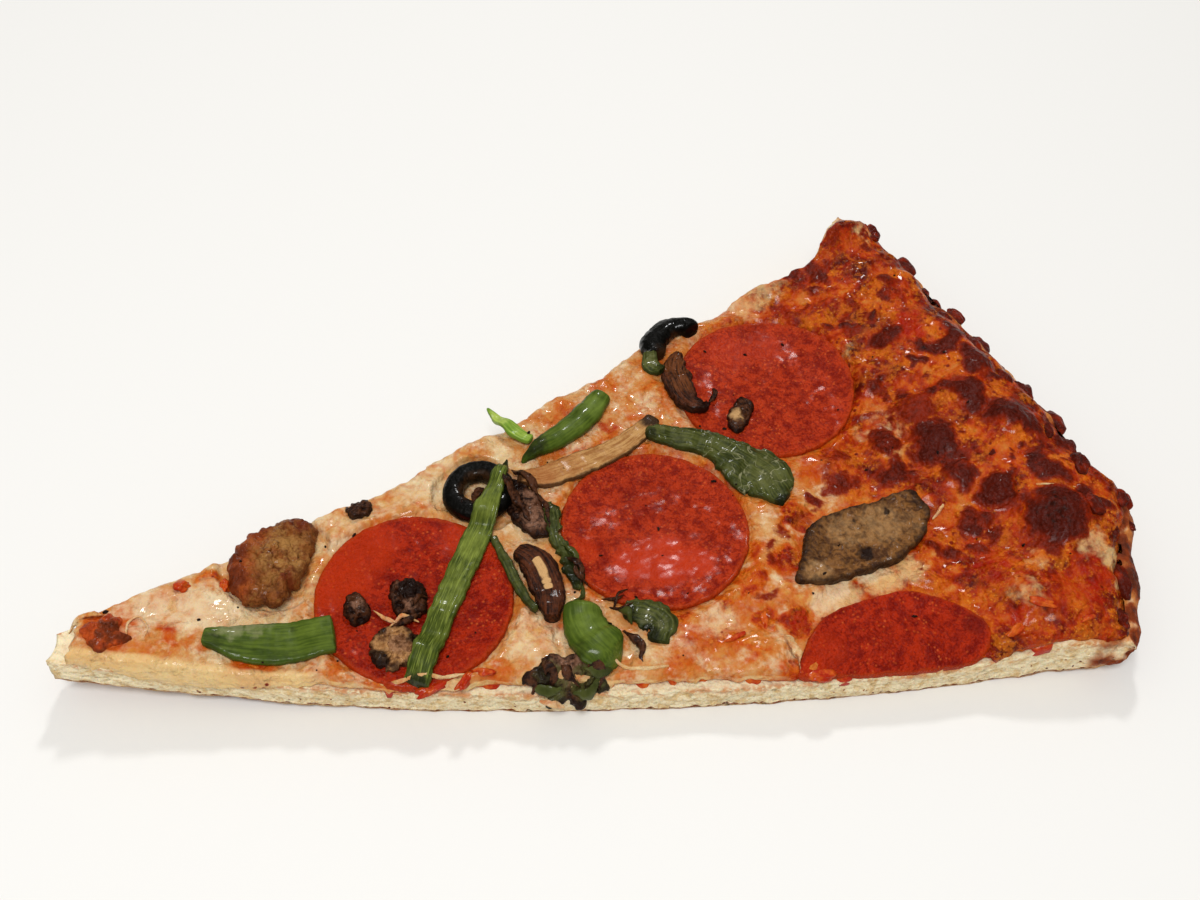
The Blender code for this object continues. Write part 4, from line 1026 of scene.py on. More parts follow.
@dataclass(frozen=True)
class Strip(Laid):
    """A strip along an axis: at each station a rounded slab section, wide by the widths, that drapes.

    The section is a superellipse. A share of each point's height follows the ground right below it and
    the rest follows the highest ground under the station, so the strip sags between what carries it.
    """

    name: str
    axis: tuple
    widths: tuple
    thickness: float
    rises: tuple = (0.0,)
    stations: int = 150
    around: int = 36
    fold: float = 0.0
    follow: float = 0.35
    squareness: float = 0.6
    sink: float = 0.25
    wobble: float = 0.2
    rough: float = 0.12
    rough_size: float = 1.8
    ridges: float = 0.0
    ridge_count: float = 7.0
    end: float = 0.035
    evening: int = 15
    seed: float = 0.0

    def _evened(self, values: Array) -> Array:
        """The stations' values as a running mean, weighted by a raised cosine."""
        kernel = np.hanning(self.evening)
        return np.convolve(np.pad(values, self.evening // 2, mode="edge"), kernel / kernel.sum(), mode="valid")

    def skin(self) -> Skin:
        """The stations' sections as one grid, closed by a point at each end."""
        curve = curve_through(self.axis, self.stations)
        along = np.gradient(curve, axis=0)
        along /= np.linalg.norm(along, axis=1)[:, None]
        across = np.stack([-along[:, 1], along[:, 0]], axis=1)
        where = np.linspace(0.0, 1.0, self.stations)
        width = np.interp(where, np.linspace(0.0, 1.0, len(self.widths)), self.widths)
        width = self._evened(width)
        rise = np.interp(where, np.linspace(0.0, 1.0, len(self.rises)), self.rises)
        taper = np.sqrt(1.0 - np.clip(1.0 - np.minimum(where, 1.0 - where) / self.end, 0.0, 0.97) ** 2)
        turn = full_turn(self.around)
        flat = squared_off(np.cos(turn), self.squareness)
        high = squared_off(np.sin(turn), self.squareness)
        edge = self.wobble * NOISE.layered(curve[:, :1] / 2.4, curve[:, 1:] / 2.4, self.seed + 4.0 + np.sign(flat))
        half = ((0.5 * width * taper)[:, None] + edge) * flat
        s = curve[:, :1] + across[:, :1] * half
        t = curve[:, 1:] + across[:, 1:] * half
        ground = GROUND.soft(1.0).at(s, t)
        floor = self._evened(ground.max(axis=1))
        base = self.follow * ground + (1.0 - self.follow) * floor[:, None]
        thick = (self.thickness * np.minimum(1.0, width / self.thickness) * taper)[:, None]
        length = np.linalg.norm(np.diff(curve[:, :2], axis=0), axis=1).sum()
        relief = self.rough * NOISE.layered(s / self.rough_size, t / self.rough_size, self.seed + 6.0)
        fibre = NOISE.layered(where[:, None] * length / 16.0, 0.5 * self.ridge_count * flat, self.seed, 2)
        relief += self.ridges * fibre
        upper = 0.5 + 0.5 * high
        z = base - self.sink + rise[:, None] + thick * upper + upper * relief * taper[:, None]
        z = z + self.fold * width[:, None] * (1.0 - np.abs(flat)) * taper[:, None]
        skin = capped(xyz(s, t, z))
        skin.marks["along"] = np.append(np.repeat(where * length, self.around), [0.0, length])
        skin.marks["across"] = np.append(half.ravel(), [0.0, 0.0])
        skin.marks["over"] = np.append((thick * upper).ravel(), [0.0, 0.0])
        skin.marks["top"] = np.append(np.tile(upper, self.stations), [0.5, 0.5])
        skin.marks["rim"] = np.append(np.tile(np.abs(flat), self.stations), [1.0, 1.0])
        return skin


Order = tuple[Laid, Look, dict[str, Sequence[Spot]]]


class Kind:
    """One kind of topping."""

    def orders(self) -> list[Order]:
        """Its pieces from the bottom up, each with its finish and its marked spots."""
        return []

    def build(self, looks: dict[Look, Material]) -> None:
        """Lays every piece."""
        for piece, look, places in self.orders():
            piece.lay(looks[look], look.slot, places)


class PepperoniRounds(Kind):
    """Three whole rounds and one that the front cut has halved."""

    thickness: float = 1.9
    half: tuple = (
        (142.5, -47.6), (145, -43), (152.5, -37), (163, -35.7), (173, -36.5), (181, -42.5), (184.5, -50),
        (181, -55.2), (172, -54.8), (160, -52.2), (150, -49.6),
    )

    def _round(self, name: str, outline: tuple, seed: float, **more: float) -> Chip:
        """One slice of sausage of even thickness."""
        shape = {"rings": 70, "around": 300, "wobble": 0.2, "wobble_size": 2.2, "rough": 0.15, "rough_size": 7.5}
        shape |= {"grain": 0.008, "grain_size": 1.1, "flex": 3.0, "sink": 0.85, "seed": seed}
        return Chip(name, outline, self.thickness, **{**shape, **more})

    def orders(self) -> list[Order]:
        """The rounds from the tip to the crust, each with its warm, dark and oily places."""
        near = {
            "warm": ((58, 2, 9, 0.9), (66, 8, 8, 0.8), (88, 4, 7, 0.8), (54, -10, 5, 0.6), (80, -24, 5, 0.5)),
            "dark": ((78, -10, 9, 0.6), (84, -4, 5, 0.5)),
            "oil": ((84, 6, 5, 1), (72, 10, 4, 0.8), (62, -18, 5, 0.7), (90, -8, 3.5, 0.5)),
        }
        pool = ((126, -13, 7, 1), (119.5, -12, 5, 1), (132, -15.5, 4.6, 1))
        middle = {
            "warm": (*pool, (110.5, -6, 3.4, 0.8)),
            "dark": ((128, 4, 9, 0.6), (118, 6, 8, 0.4), (138, -2, 6, 0.4)),
            "oil": (*pool, (118, 2, 4, 0.5)),
        }
        far = {
            "warm": ((162, 38, 7, 0.6), (171, 37, 6, 0.6), (152, 27, 4, 0.5), (178, 10, 4, 0.5)),
            "dark": ((170, 42, 6, 0.6), (178, 34, 5, 0.5), (180, 20, 5, 0.4)),
            "oil": ((163, 38.5, 7, 1), (172, 36, 6, 1), (157, 33, 5, 0.8), (180, 26, 3.5, 0.5)),
        }
        cut = {
            "warm": ((150, -44, 5, 0.6), (163, -45, 5, 0.4), (146, -47, 3, 0.8)),
            "dark": ((182, -48.5, 3, 1), (176, -47, 4, 0.4)),
            "oil": ((166, -38.5, 4, 0.9), (173, -40, 3.5, 0.9), (160, -38.5, 3, 0.5)),
        }
        rounds = [
            ("pepperoni_near_tip", (73, -6.7, 20.6), Look.BRIGHT_PEPPERONI, near, 0),
            ("pepperoni_middle", (126.9, -5.3, 20.6), Look.DEEP_PEPPERONI, middle, -0.5),
            ("pepperoni_far", (166.4, 25.2, 21.1), Look.DEEP_PEPPERONI, far, 0),
        ]
        found = []
        for name, ring, look, places, dome in rounds:
            outline = round_outline(*ring, seed=ring[0])
            found.append((self._round(name, outline, ring[0], dome=dome), look, places))
        half = self._round("pepperoni_cut", self.half, 160.0, sink=0.9)
        return [*found, (half, Look.BRIGHT_PEPPERONI, cut)]


class SausagePieces(Kind):
    """A crumbly chunk of sausage and a crumb at the tip."""

    def orders(self) -> list[Order]:
        """The chunk, then the crumb in a redder finish."""
        outline = ((37.3, 7), (39.5, 14), (46, 18.5), (54, 19.3), (57, 15), (53, 6), (47, -1), (40, 0.6))
        shape = {"rings": 70, "around": 260, "dome": 1.6, "stiff": True, "sink": 0.8, "wobble": 0.6, "edge": 2.4}
        shape |= {"rough": 1.1, "rough_size": 5.0, "nuggets": 1.4, "nugget_size": 2.7, "seed": 1.0}
        chunk = Chip("sausage_chunk", outline, 4.4, **shape)
        chunk_places = {
            "dark": ((38.8, 6, 3, 0.7), (40, 12, 2.4, 0.6), (54, 17, 3, 0.5), (46, 18, 2.4, 0.5),
                     (49, 3, 1.6, 0.5)),
            "warm": ((40, 9, 4, 0.9), (44, 16, 4, 0.8), (39, 4, 3, 0.9)),
            "pale": ((49, 9, 5.5, 1), (51, 15, 4, 0.8), (46, 4, 3, 0.6)),
        }
        outline = (
            (7.6, 2.2), (8.8, 4.4), (11, 3.4), (13.8, 4.8), (16.4, 2.8), (15.6, 0.2), (17.2, -1.8), (13.6, -2.6),
            (10.8, -3.8), (9.4, -1.4),
        )
        shape = {"rings": 40, "around": 150, "dome": 1.0, "sink": 0.8, "wobble": 0.35, "wobble_size": 2.0}
        shape |= {"edge": 1.8, "rough": 0.6, "rough_size": 2.6, "nuggets": 0.8, "nugget_size": 2.3, "seed": 2.0}
        crumb = Chip("sausage_crumb", outline, 1.7, **shape)
        crumb_places = {
            "dark": ((13.4, 0.2, 2.4, 0.6), (16.4, -1.4, 1.6, 0.6), (10.2, -3, 1.6, 0.5)),
            "warm": ((13, 1, 3, 0.9), (9.6, 1, 2.6, 1), (11, -2, 2.4, 0.9)),
        }
        return [(chunk, Look.SAUSAGE, chunk_places), (crumb, Look.RED_SAUSAGE, crumb_places)]


class MushroomSlices(Kind):
    """Flat roasted slices and scraps."""

    slab: tuple = (
        (151, -28), (155, -21), (158.6, -16), (164.6, -14.4), (174, -14), (184.6, -13.6), (186.4, -16.6),
        (185.6, -21.2), (180.5, -26.5), (171.7, -29.6), (160, -30.3),
    )

    def orders(self) -> list[Order]:
        """The slab, the pieces by the bulb, and the scraps."""
        grey, dark, tan = Look.GREY_MUSHROOM, Look.DARK_MUSHROOM, Look.TAN_MUSHROOM
        large = {"stiff": True, "rings": 70, "around": 260, "wobble_size": 4.0, "rough": 0.35, "rough_size": 5.0}
        large |= {"crease": 0.5, "crease_size": 3.0, "curl": 0.6}
        middle = {"rings": 40, "around": 180, "crease": 1.0, "crease_size": 2.8}
        table = [
            ("mushroom_slab", self.slab, 2.5, grey, 11, large,
             {"tan": ((155.5, -27.3, 3.4, 0.5), (174, -20, 6, 0.5), (166, -19.5, 5, 0.45), (180, -22, 4, 0.35)),
              "dark": ((167.6, -26, 2, 1), (185.4, -17, 3.4, 0.6), (157, -21.5, 4.4, 0.55),
                       (163, -26.5, 1.6, 0.5), (169, -17.9, 0.8, 0.8), (176.6, -17.4, 0.8, 0.9),
                       (159.5, -16.4, 3, 0.6), (181, -26, 1.4, 0.6))}),
            ("mushroom_grey_piece", ((99, 17), (103, 15), (105, 8), (104.5, 0), (100.5, 0.5), (98, 7)), 2, dark,
             12, middle, {"pink": ((101.5, 10, 3, 0.8), (102.5, 4, 3, 0.9)), "dark": ((99.5, 14, 3, 0.9),)}),
            ("mushroom_front_piece",
             ((88.6, -31.4), (92, -30), (95.7, -28.8), (103, -30.6), (106.4, -33.2), (104, -35), (105, -37.4),
              (101, -37), (98.5, -38.8), (96, -36.6), (92.5, -36.4), (93.4, -34)),
             1.6, dark, 13, middle,
             {"pink": ((98, -31.6, 3.4, 0.9), (103, -32.6, 2, 0.7)), "dark": ((93, -33, 2.6, 0.8),),
              "green": ((94, -33.6, 3.6, 0.9), (101, -35.6, 3.4, 1), (104.6, -36, 2, 0.9))}),
            ("mushroom_edge_scrap",
             ((64.3, 19), (66.1, 20.8), (69, 20.8), (69.5, 18.6), (68.3, 16.4), (65.4, 16.6)), 1.8, dark, 14,
             {"crease": 1.1}, {}),
            ("mushroom_scrap_left", ((58.5, -6), (60, -3.2), (62.5, -4.5), (63, -9), (59.5, -9.8)), 2, dark, 15,
             {"crease": 1.2, "dome": 0.6}, {"pink": ((61.4, -6.5, 1.4, 0.7),)}),
            ("mushroom_scrap_upper", ((68.2, -6), (70.5, -3), (74.5, -5), (74, -11), (69.5, -11.3)), 2.4, dark,
             16, {"crease": 1.4, "dome": 0.6},
             {"pink": ((71.5, -9.8, 1.5, 0.8), (70, -4.2, 1, 0.5)), "dark": ((72, -6, 2.6, 1),)}),
            ("mushroom_scrap_lower",
             ((61.5, -17), (64.5, -13.5), (69.5, -15.2), (70.5, -20.5), (65, -22), (62, -20.5)), 2.2, tan, 17,
             {"crease": 1.6, "crease_size": 2},
             {"dark": ((62.2, -19.8, 2.4, 1), (70, -17, 1.6, 0.9), (64, -14, 1.4, 0.8)),
              "pink": ((67, -18, 2.2, 0.9),)}),
            ("mushroom_chip_far", ((154, 13.8), (158.5, 16.5), (161, 20.5), (160, 23), (156.5, 21.3), (154, 18)),
             1.5, dark, 18, {"dome": 0.6, "crease": 0.9}, {"tan": ((155.8, 18, 1.7, 1),)}),
        ]
        return [
            (Chip(name, outline, thickness, seed=seed, **more), look, places)
            for name, outline, thickness, look, seed, more, places in table
        ]


class MushroomStrips(Kind):
    """A stem and two curled caps."""

    def orders(self) -> list[Order]:
        """The stem first, then the curls."""
        stem = ((102, 15.4), (109.3, 14.7), (118, 15.9), (127, 17.6), (134, 20.9), (137.7, 23.2))
        cap = ((96, -3), (98.6, -7), (99.6, -12), (99.2, -17), (98, -21))
        curl = ((151, 41), (147.5, 36), (146.3, 30), (147, 25), (149.4, 22.6), (151.6, 24.6))
        slit = tuple((98.9 + 0.05 * k, -7.6 - 0.42 * k, 0.44 - 0.01 * k, 1.0) for k in range(20))
        table = [
            ("mushroom_stem_slice", stem, (3.6, 6.2, 6.4, 5.4, 4.8, 3.4), 1.8, Look.TAN_STEM, 21,
             {"squareness": 0.4, "rough": 0.06, "ridges": 0.1},
             {"dark": ((136.4, 22.6, 3, 1), (102.3, 15.4, 1.8, 0.8)),
              "toast": ((106.5, 14.8, 5, 0.9), (114, 16, 4, 0.5))}),
            ("mushroom_cap_curl", cap, (3, 7, 7.6, 6.5, 3), 3, Look.DARK_CURL, 22,
             {"ridges": 0.25, "ridge_count": 4, "wobble": 0.4, "rough": 0.2, "rough_size": 3, "stations": 220},
             {"slit": slit}),
            ("mushroom_far_curl", curl, (1.2, 5, 7, 6.6, 4, 1), 3, Look.DARK_CURL, 23,
             {"ridges": 0.6, "ridge_count": 11, "wobble": 0.5, "rough": 0.3, "rough_size": 2.4, "squareness": 0.8},
             {"warm": ((148, 35.5, 3.6, 0.9), (146.6, 30, 3, 0.9)),
              "dark": ((151, 23.5, 3.4, 1), (150.6, 40.6, 1.4, 0.8))}),
        ]
        return [
            (Strip(name, axis, widths, thickness, seed=seed, **more), look, places)
            for name, axis, widths, thickness, look, seed, more, places in table
        ]


class OlivePieces(Kind):
    """A whole ring and, at the back cut, half of another."""

    centre: tuple = (92.8, 14.7)
    radius: float = 5.6
    wall: float = 4.6
    half_height: float = 2.1
    squareness: float = 0.75
    around: int = 220
    section: int = 56

    def _ring(self) -> Skin:
        """A ring with a rounded rectangular section, a little uneven, on a flat sheet."""
        turn = full_turn(self.around)[:, None]
        roll = full_turn(self.section)[None, :]
        out, high = squared_off(np.cos(roll), self.squareness), squared_off(np.sin(roll), self.squareness)
        uneven = 1.0 + 0.05 * NOISE.at(np.cos(turn) * 1.2, np.sin(turn) * 1.2, 2.0)
        reach = self.radius * uneven + 0.5 * self.wall * out
        s = self.centre[0] + reach * np.cos(turn)
        t = self.centre[1] + reach * np.sin(turn)
        ground = GROUND.soft(1.5).at(s, t)
        spot = np.stack([s.ravel(), t.ravel()], axis=1)
        floor = flat_over(spot, ground.ravel(), 0.8).reshape(s.shape)
        z = floor - 0.2 + self.half_height * (1.0 + high)
        index = np.arange(s.size).reshape(s.shape)
        closed = np.concatenate([index, index[:1]])
        skin = Skin(xyz(s, t, z).reshape(-1, 3), [grid_faces(closed, closed=True)])
        skin.face_outwards()
        skin.push(0.1 * NOISE.layered(*(skin.points / 1.8).T) + 0.03 * NOISE.at(*(skin.points / 0.5).T))
        skin.marks["top"] = np.tile(0.5 + 0.5 * high[0], self.around)
        skin.marks["hole"] = np.tile(unit(-out[0]), self.around)
        return skin

    def orders(self) -> list[Order]:
        """The half ring."""
        arc = ((144.4, 40.2), (145, 44.2), (148.2, 47.6), (151.8, 48.8), (155, 47.6), (155.6, 45.2))
        shape = {"squareness": 0.65, "rough": 0.25, "rough_size": 3.4, "wobble": 0.4, "fold": 0.05, "end": 0.06}
        half = Strip("olive_half_ring", arc, (5.2, 6.2, 6.4, 6.0, 5.2, 4.2), 4.0, seed=31.0, **shape)
        return [(half, Look.OLIVE, {"hole": ((146.5, 41.0, 2.2, 0.8), (151.0, 45.0, 1.6, 0.6))})]

    def build(self, looks: dict[Look, Material]) -> None:
        """Lays the ring, then the half."""
        ring = self._ring()
        ring.make("olive_ring_piece", looks[Look.OLIVE], Look.OLIVE.slot, ["olive_ring"])
        GROUND.add(ring.points[ring.marks["top"] > 0.4])
        super().build(looks)


class PepperStrips(Kind):
    """Cut strips of green pepper, some shiny and whole, some roasted soft."""

    def orders(self) -> list[Order]:
        """The strips from the tip to the crust, and the long one last, over the olive."""
        green, smooth_green, soft = Look.GREEN_PEPPER, Look.SMOOTH_PEPPER, Look.SOFT_PEPPER
        wrinkled = (
            (133.5, 19.2), (139.2, 16.9), (144.9, 13.9), (149.1, 9.3), (152.4, 3.7), (155.5, -0.5), (156, -8.4),
        )
        long = ((101.8, 22.4), (97, 14.3), (90.6, 5.2), (84.3, -3), (78.2, -11.5), (72.4, -20), (68, -26.3))
        table = [
            ("pepper_near_tip", ((30.4, -5), (37, -7.8), (44, -10), (50, -10.8), (55.5, -11.3)),
             (3, 7.6, 9.2, 8.8, 8.2), 2.2, smooth_green, 41,
             {"squareness": 0.45, "fold": 0.03, "rough": 0.08, "ridges": 0.14, "ridge_count": 12, "end": 0.02},
             {"light": ((46, -7.2, 4, 0.5), (51, -8, 4, 0.6), (55, -9.5, 3.4, 0.5)),
              "film": ((36.5, -5.2, 2.8, 0.8), (40.5, -6.2, 2.6, 0.7), (44, -5.6, 2.2, 0.6), (33, -5, 2, 0.5)),
              "dark": ((32.5, -7.2, 2.8, 0.6), (36, -9.6, 2.6, 0.5), (39.5, -11.4, 2.6, 0.5),
                       (43, -12.6, 2.6, 0.5), (46.5, -13.4, 2.4, 0.5), (50, -13.6, 2.4, 0.45),
                       (55.4, -13.8, 1.4, 0.7), (48, -8.6, 1, 0.6))}),
            ("pepper_tucked", ((113.2, -22.5), (117, -25), (119.4, -28.5), (117, -32.2)), (3, 7.5, 7, 4), 1.4,
             soft, 42, {"ridges": 0.3, "rough": 0.4, "wobble": 0.8},
             {"film": ((117.5, -26.5, 3, 0.5), (120, -29, 2.4, 0.5)),
              "dark": ((115.5, -30.5, 3, 1), (113.5, -24, 2.4, 0.9))}),
            ("pepper_thin_left", ((92.5, 2.9), (93.2, -4.3), (94, -12.4), (95.5, -18.4)), (1.6, 2.2, 2.2, 1.6),
             1.4, soft, 43, {"around": 24}, {"light": ((93.4, -3, 3, 0.5),), "dark": ((95, -16, 3, 0.6),)}),
            ("pepper_thin_right", ((107, 8), (106, 2.6), (105.4, -2.7), (106, -8.7), (106, -15.7)),
             (2, 3.2, 2.6, 3.6, 2), 1.5, soft, 44, {"wobble": 1.2, "ridges": 0.4, "rough": 0.3},
             {"light": ((106, 0, 3, 0.4),), "dark": ((106.5, -11, 4.5, 0.9), (106.5, 6.5, 2, 0.6)),
              "film": ((105, 3, 2, 0.4),)}),
            ("pepper_bulb", ((105.6, -18.5), (104.2, -22.9), (104.6, -27.9), (106.4, -32), (108, -34.2)),
             (5, 8.6, 10.2, 10.6, 8.2), 4.4, smooth_green, 45,
             {"fold": 0.05, "squareness": 0.85, "rough": 0.25, "rough_size": 5, "wobble": 0.35, "end": 0.18},
             {"light": ((104.5, -26, 4.5, 0.7), (105.5, -21, 3, 0.6), (107, -33, 3, 0.5)),
              "dark": ((110.4, -26, 2.6, 0.7), (100.6, -31, 2.6, 0.6), (104, -30, 1.6, 0.4))}),
            ("pepper_back", ((128.6, 33.4), (123.8, 29.4), (118.2, 25.8), (110.7, 22.6), (104.5, 20.3)),
             (4.5, 6.5, 6.4, 5, 1), 2.8, smooth_green, 46,
             {"fold": 0.08, "squareness": 0.7, "rough": 0.12, "rough_size": 4, "ridges": 0.15},
             {"light": ((125, 29, 4, 0.7), (118, 24.5, 4, 0.6)),
              "dark": ((121, 29.5, 3, 0.5), (108, 22.5, 3.6, 0.8))}),
            ("pepper_sliver", ((108.2, 24.4), (105.6, 27.2), (102.9, 31.7), (101, 35.8)), (2.4, 3.2, 2.4, 0.5),
             1.5, Look.PALE_PEPPER, 47,
             {"squareness": 0.5, "ridges": 0.2, "rises": (0.2, 1.8, 4, 6.2), "around": 24},
             {"light": ((103, 32, 3, 0.8),)}),
            ("pepper_wrinkled", wrinkled, (3, 4.8, 6, 7, 10.4, 14.2, 11.5, 1.4), 1.9, soft, 48,
             {"stations": 240, "around": 48, "fold": 0.05, "squareness": 0.5, "ridges": 0.6, "ridge_count": 6,
              "rough": 0.5, "rough_size": 3, "wobble": 0.5, "follow": 0.7},
             {"light": ((141, 16.2, 3, 0.5), (137, 19, 2, 0.5), (155.5, 0.5, 5.4, 0.6)),
              "veins": ((155, -1, 8, 1), (151, 5, 6, 0.9), (145, 12.5, 5, 0.7)),
              "dark": ((156.2, -8.4, 2.4, 1), (134.5, 18, 1.6, 0.8), (149.5, 6, 1.6, 0.5))}),
            ("pepper_scrap", ((143, 41.3), (142.4, 38.4), (143.8, 35.2)), (3, 4.8, 3), 1.6, soft, 49,
             {"ridges": 0.15}, {"light": ((142.6, 39, 2, 0.7),), "dark": ((144.2, 36, 1.6, 0.7),)}),
            ("pepper_long", long, (0.4, 3.8, 5.2, 6, 6, 5.6, 5.6, 5.2), 1.9, green, 50,
             {"stations": 260, "around": 48, "squareness": 0.5, "fold": 0.05, "rough": 0.05, "ridges": 0.3,
              "ridge_count": 16, "end": 0.01, "wobble": 0.3},
             {"light": ((94, 9, 5, 0.6), (88, 1, 5, 0.7), (80, -9, 5, 0.6), (73, -19, 4, 0.4)),
              "dark": ((101.6, 22, 2.4, 1), (68, -26.6, 2.6, 0.9), (98, 17, 2.4, 0.4))}),
        ]
        return [
            (Strip(name, axis, widths, thickness, seed=seed, **more), look, places)
            for name, axis, widths, thickness, look, seed, more, places in table
        ]


def round_outline(s: float, t: float, radius: float, seed: float, count: int = 24, uneven: float = 0.012) -> tuple:
    """A circle of points whose radius wavers by a small share."""
    turn = full_turn(count)
    reach = radius * (1.0 + uneven * NOISE.at(np.cos(turn) * 1.3, np.sin(turn) * 1.3, seed))
    return tuple(zip(s + reach * np.cos(turn), t + reach * np.sin(turn)))


def lump(s: float, t: float, long: float, wide: float, high: float, turn: float = 0.0, rough: float = 0.3) -> Skin:
    """A lump with these half sizes, turned by degrees: an ellipsoid that noise swells, its middle on the ground."""
    roll = full_turn(26)
    tip = np.linspace(0.0, math.pi, 15)[1:-1, None]
    x, y, z = np.sin(tip) * np.cos(roll), np.sin(tip) * np.sin(roll), np.cos(tip) + 0.0 * roll
    grow = 1.0 + rough * NOISE.at(1.3 * x + s, 1.3 * y + t, 1.3 * z)
    angle = math.radians(turn)
    x, y = long * x * grow, wide * y * grow
    place_s = s + x * math.cos(angle) - y * math.sin(angle)
    place_t = t + x * math.sin(angle) + y * math.cos(angle)
    return capped(xyz(place_s, place_t, GROUND.at(np.array(s), np.array(t)) + high * z * grow))


def strand(knots: tuple, width: float, rise: float = 0.0) -> Skin:
    """A thin shred along these knots, pointed at both ends and lifted off the ground in its middle."""
    shape = Strip("", knots, (0.2, width, 0.8 * width, 0.2), 0.6 * width + 0.2, rises=(0.0, rise, 0.3 * rise))
    return replace(shape, stations=44, around=12, wobble=0.3 * width, rough=0.1, follow=0.8, seed=knots[0][0]).skin()


def joined(parts: Sequence[Skin], **marks: float) -> Skin:
    """Several skins as one, with these marks the same all over."""
    starts = np.cumsum([0] + [len(part.points) for part in parts])
    faces = [group + start for part, start in zip(parts, starts) for group in part.faces]
    points = np.concatenate([part.points for part in parts])
    return Skin(points, faces, {key: np.full(len(points), value) for key, value in marks.items()})


class LooseBits:
    """What lies loose or stands proud of the rest: rim knobs, shreds, threads, crumbs and specks."""

    seed: int = 7
    small_knobs: int = 18
    specks: int = 70
    rim_knobs: tuple = (
        (217.6, 49.6, 2.6, 2.8, 1.2), (219.6, 35.9, 2, 2.6, 1.1), (220.2, 29.8, 1.8, 2.2, 1),
        (211.6, 60.8, 1.6, 2.2, 1.2), (221, 19.3, 1.6, 2.2, 0.8), (224.6, -8, 2.2, 2.8, 1.2),
        (220.4, -23, 1.8, 2.4, 1), (217.4, -33.4, 1.8, 2.6, 1.1), (216, -50, 1.6, 3.4, 1.4),
        (211.2, -57.4, 1.4, 2.4, 1.2), (223, 2, 1.6, 2.2, 0.9), (222.4, -16.4, 1.8, 2.4, 0.9),
        (205.2, -13.4, 1.5, 0.8, 1), (206.8, -11.6, 0.8, 1.4, 1.1), (210.6, 64.2, 1.6, 1.2, 1.5),
        (212.8, 63.4, 1, 0.8, 1.6), (208.6, 63.6, 1.2, 1, 1.1),
    )
    orange: tuple = (
        (71.1, -27.4, 3.4, 1.2, 0.8, 12), (77.4, -28.6, 2.6, 1, 0.9, 40), (81.5, -28, 2.2, 0.8, 0.7, -20),
        (146.6, -48.8, 3.2, 1.2, 0.9, -15), (28.4, 8.3, 1.7, 1.2, 1.3, 0), (36.4, 6.6, 1.6, 1.2, 1.2, 60),
        (188.6, -53, 2.8, 0.9, 0.8, 20), (195.5, -50.5, 2.6, 0.8, 0.8, -30), (199.4, -53.6, 2.6, 0.9, 0.9, 35),
        (187.5, -48, 2.4, 0.7, 0.8, 50), (203.4, -56, 2, 0.7, 0.8, 5), (192.4, -55.6, 1.8, 0.6, 0.7, -50),
        (140.4, -33.9, 2.2, 0.7, 0.6, 70), (132.6, -36, 2.4, 0.6, 0.6, 10),
    )
    dark: tuple = (
        (((109.5, -18.6), (112, -20.2), (114.6, -19.4)), 0.8, 1.4),
        (((111, -22.4), (113, -19.6), (115.8, -18.2)), 0.7, 1.8),
        (((110.4, -20.6), (112.6, -22.6), (116, -22)), 0.8, 0.9),
        (((111.4, -27), (113.6, -31), (112.6, -35.6)), 1.8, 0.5),
        (((92.5, -30), (94.6, -32), (93.4, -34.2)), 2.4, 0.3),
        (((96.4, -31.4), (97.6, -34), (99.2, -36)), 1.9, 0.3),
        (((88.6, -31), (90.6, -32.6), (89.8, -33.6)), 1.5, 0.2),
        (((101.5, -33.6), (104, -35.4), (102.8, -37.2)), 1.5, 0.3),
        (((98.4, 15.6), (99.6, 9), (101.2, 3.4)), 2.4, 0.5), (((101.8, 19.4), (104.2, 14), (105, 8.4)), 2, 0.5),
        (((104.2, 12), (105.6, 6), (104.4, 0.2)), 1.2, 0.4),
        (((105.4, -7.6), (107.8, -11), (106.4, -15)), 1.5, 0.9),
        (((107.6, -9.4), (106.2, -12.6), (108.4, -15.6)), 1, 1.2),
        (((91.4, 13.4), (93, 15.6), (94.6, 14.6)), 2.4, 0.3),
        (((151.6, 24), (153.6, 25.4), (154.4, 28.2)), 1.3, 1.4),
        (((66.4, -12.6), (69.6, -13), (73, -11.8)), 1.2, 0.8),
        (((71.4, -10.6), (73.8, -8.8), (75.6, -8.6)), 1, 0.9),
    )
    pale: tuple = (
        (((16.6, -2.2), (17.2, 1.6), (19.4, 2.8), (20.6, 0), (19.4, -2.6)), 0.45, 0.5),
        (((13, 5), (10.2, 6), (7.2, 5.6), (5.6, 4.4)), 1.6, 0.3),
        (((186.4, -21.6), (188.8, -20.4), (190.8, -18.8)), 0.8, 0.9),
        (((203, -20.6), (210.7, -25.1), (217.9, -29)), 0.5, 0.2),
        (((91, -35), (92.8, -36.4), (95.6, -37.4)), 1, 0.3),
        (((142.2, -38), (143.6, -42.6), (142.8, -46.6)), 2.2, 0.4),
        (((64, -7.8), (67.4, -12.2), (69.8, -12.8)), 0.8, 0.8), (((66, -13), (69, -11.8), (72.2, -13.4)), 0.8, 1),
        (((60, -23.4), (70, -25.6), (80, -27.4)), 0.8, 0.2), (((104, -30.5), (110, -36), (121, -38.4)), 0.7, 0.2),
    )
    green: tuple = (
        (((90.4, -32.4), (92.6, -34.6), (95.6, -35.2)), 1.6, 0.4),
        (((97.6, -36.2), (100.4, -37.4), (103.6, -36)), 1.7, 0.4),
        (((100.6, -33.6), (103, -35.6), (106.2, -35.6)), 1.3, 0.5),
        (((111.6, -21.4), (113.4, -23.6), (113.8, -26.4)), 1.4, 0.5),
        (((105.6, -4), (107.8, -7), (107.2, -10.6)), 1.5, 0.4),
        (((107, -14.6), (105.8, -17.6), (103, -19.4)), 1.3, 0.3),
    )

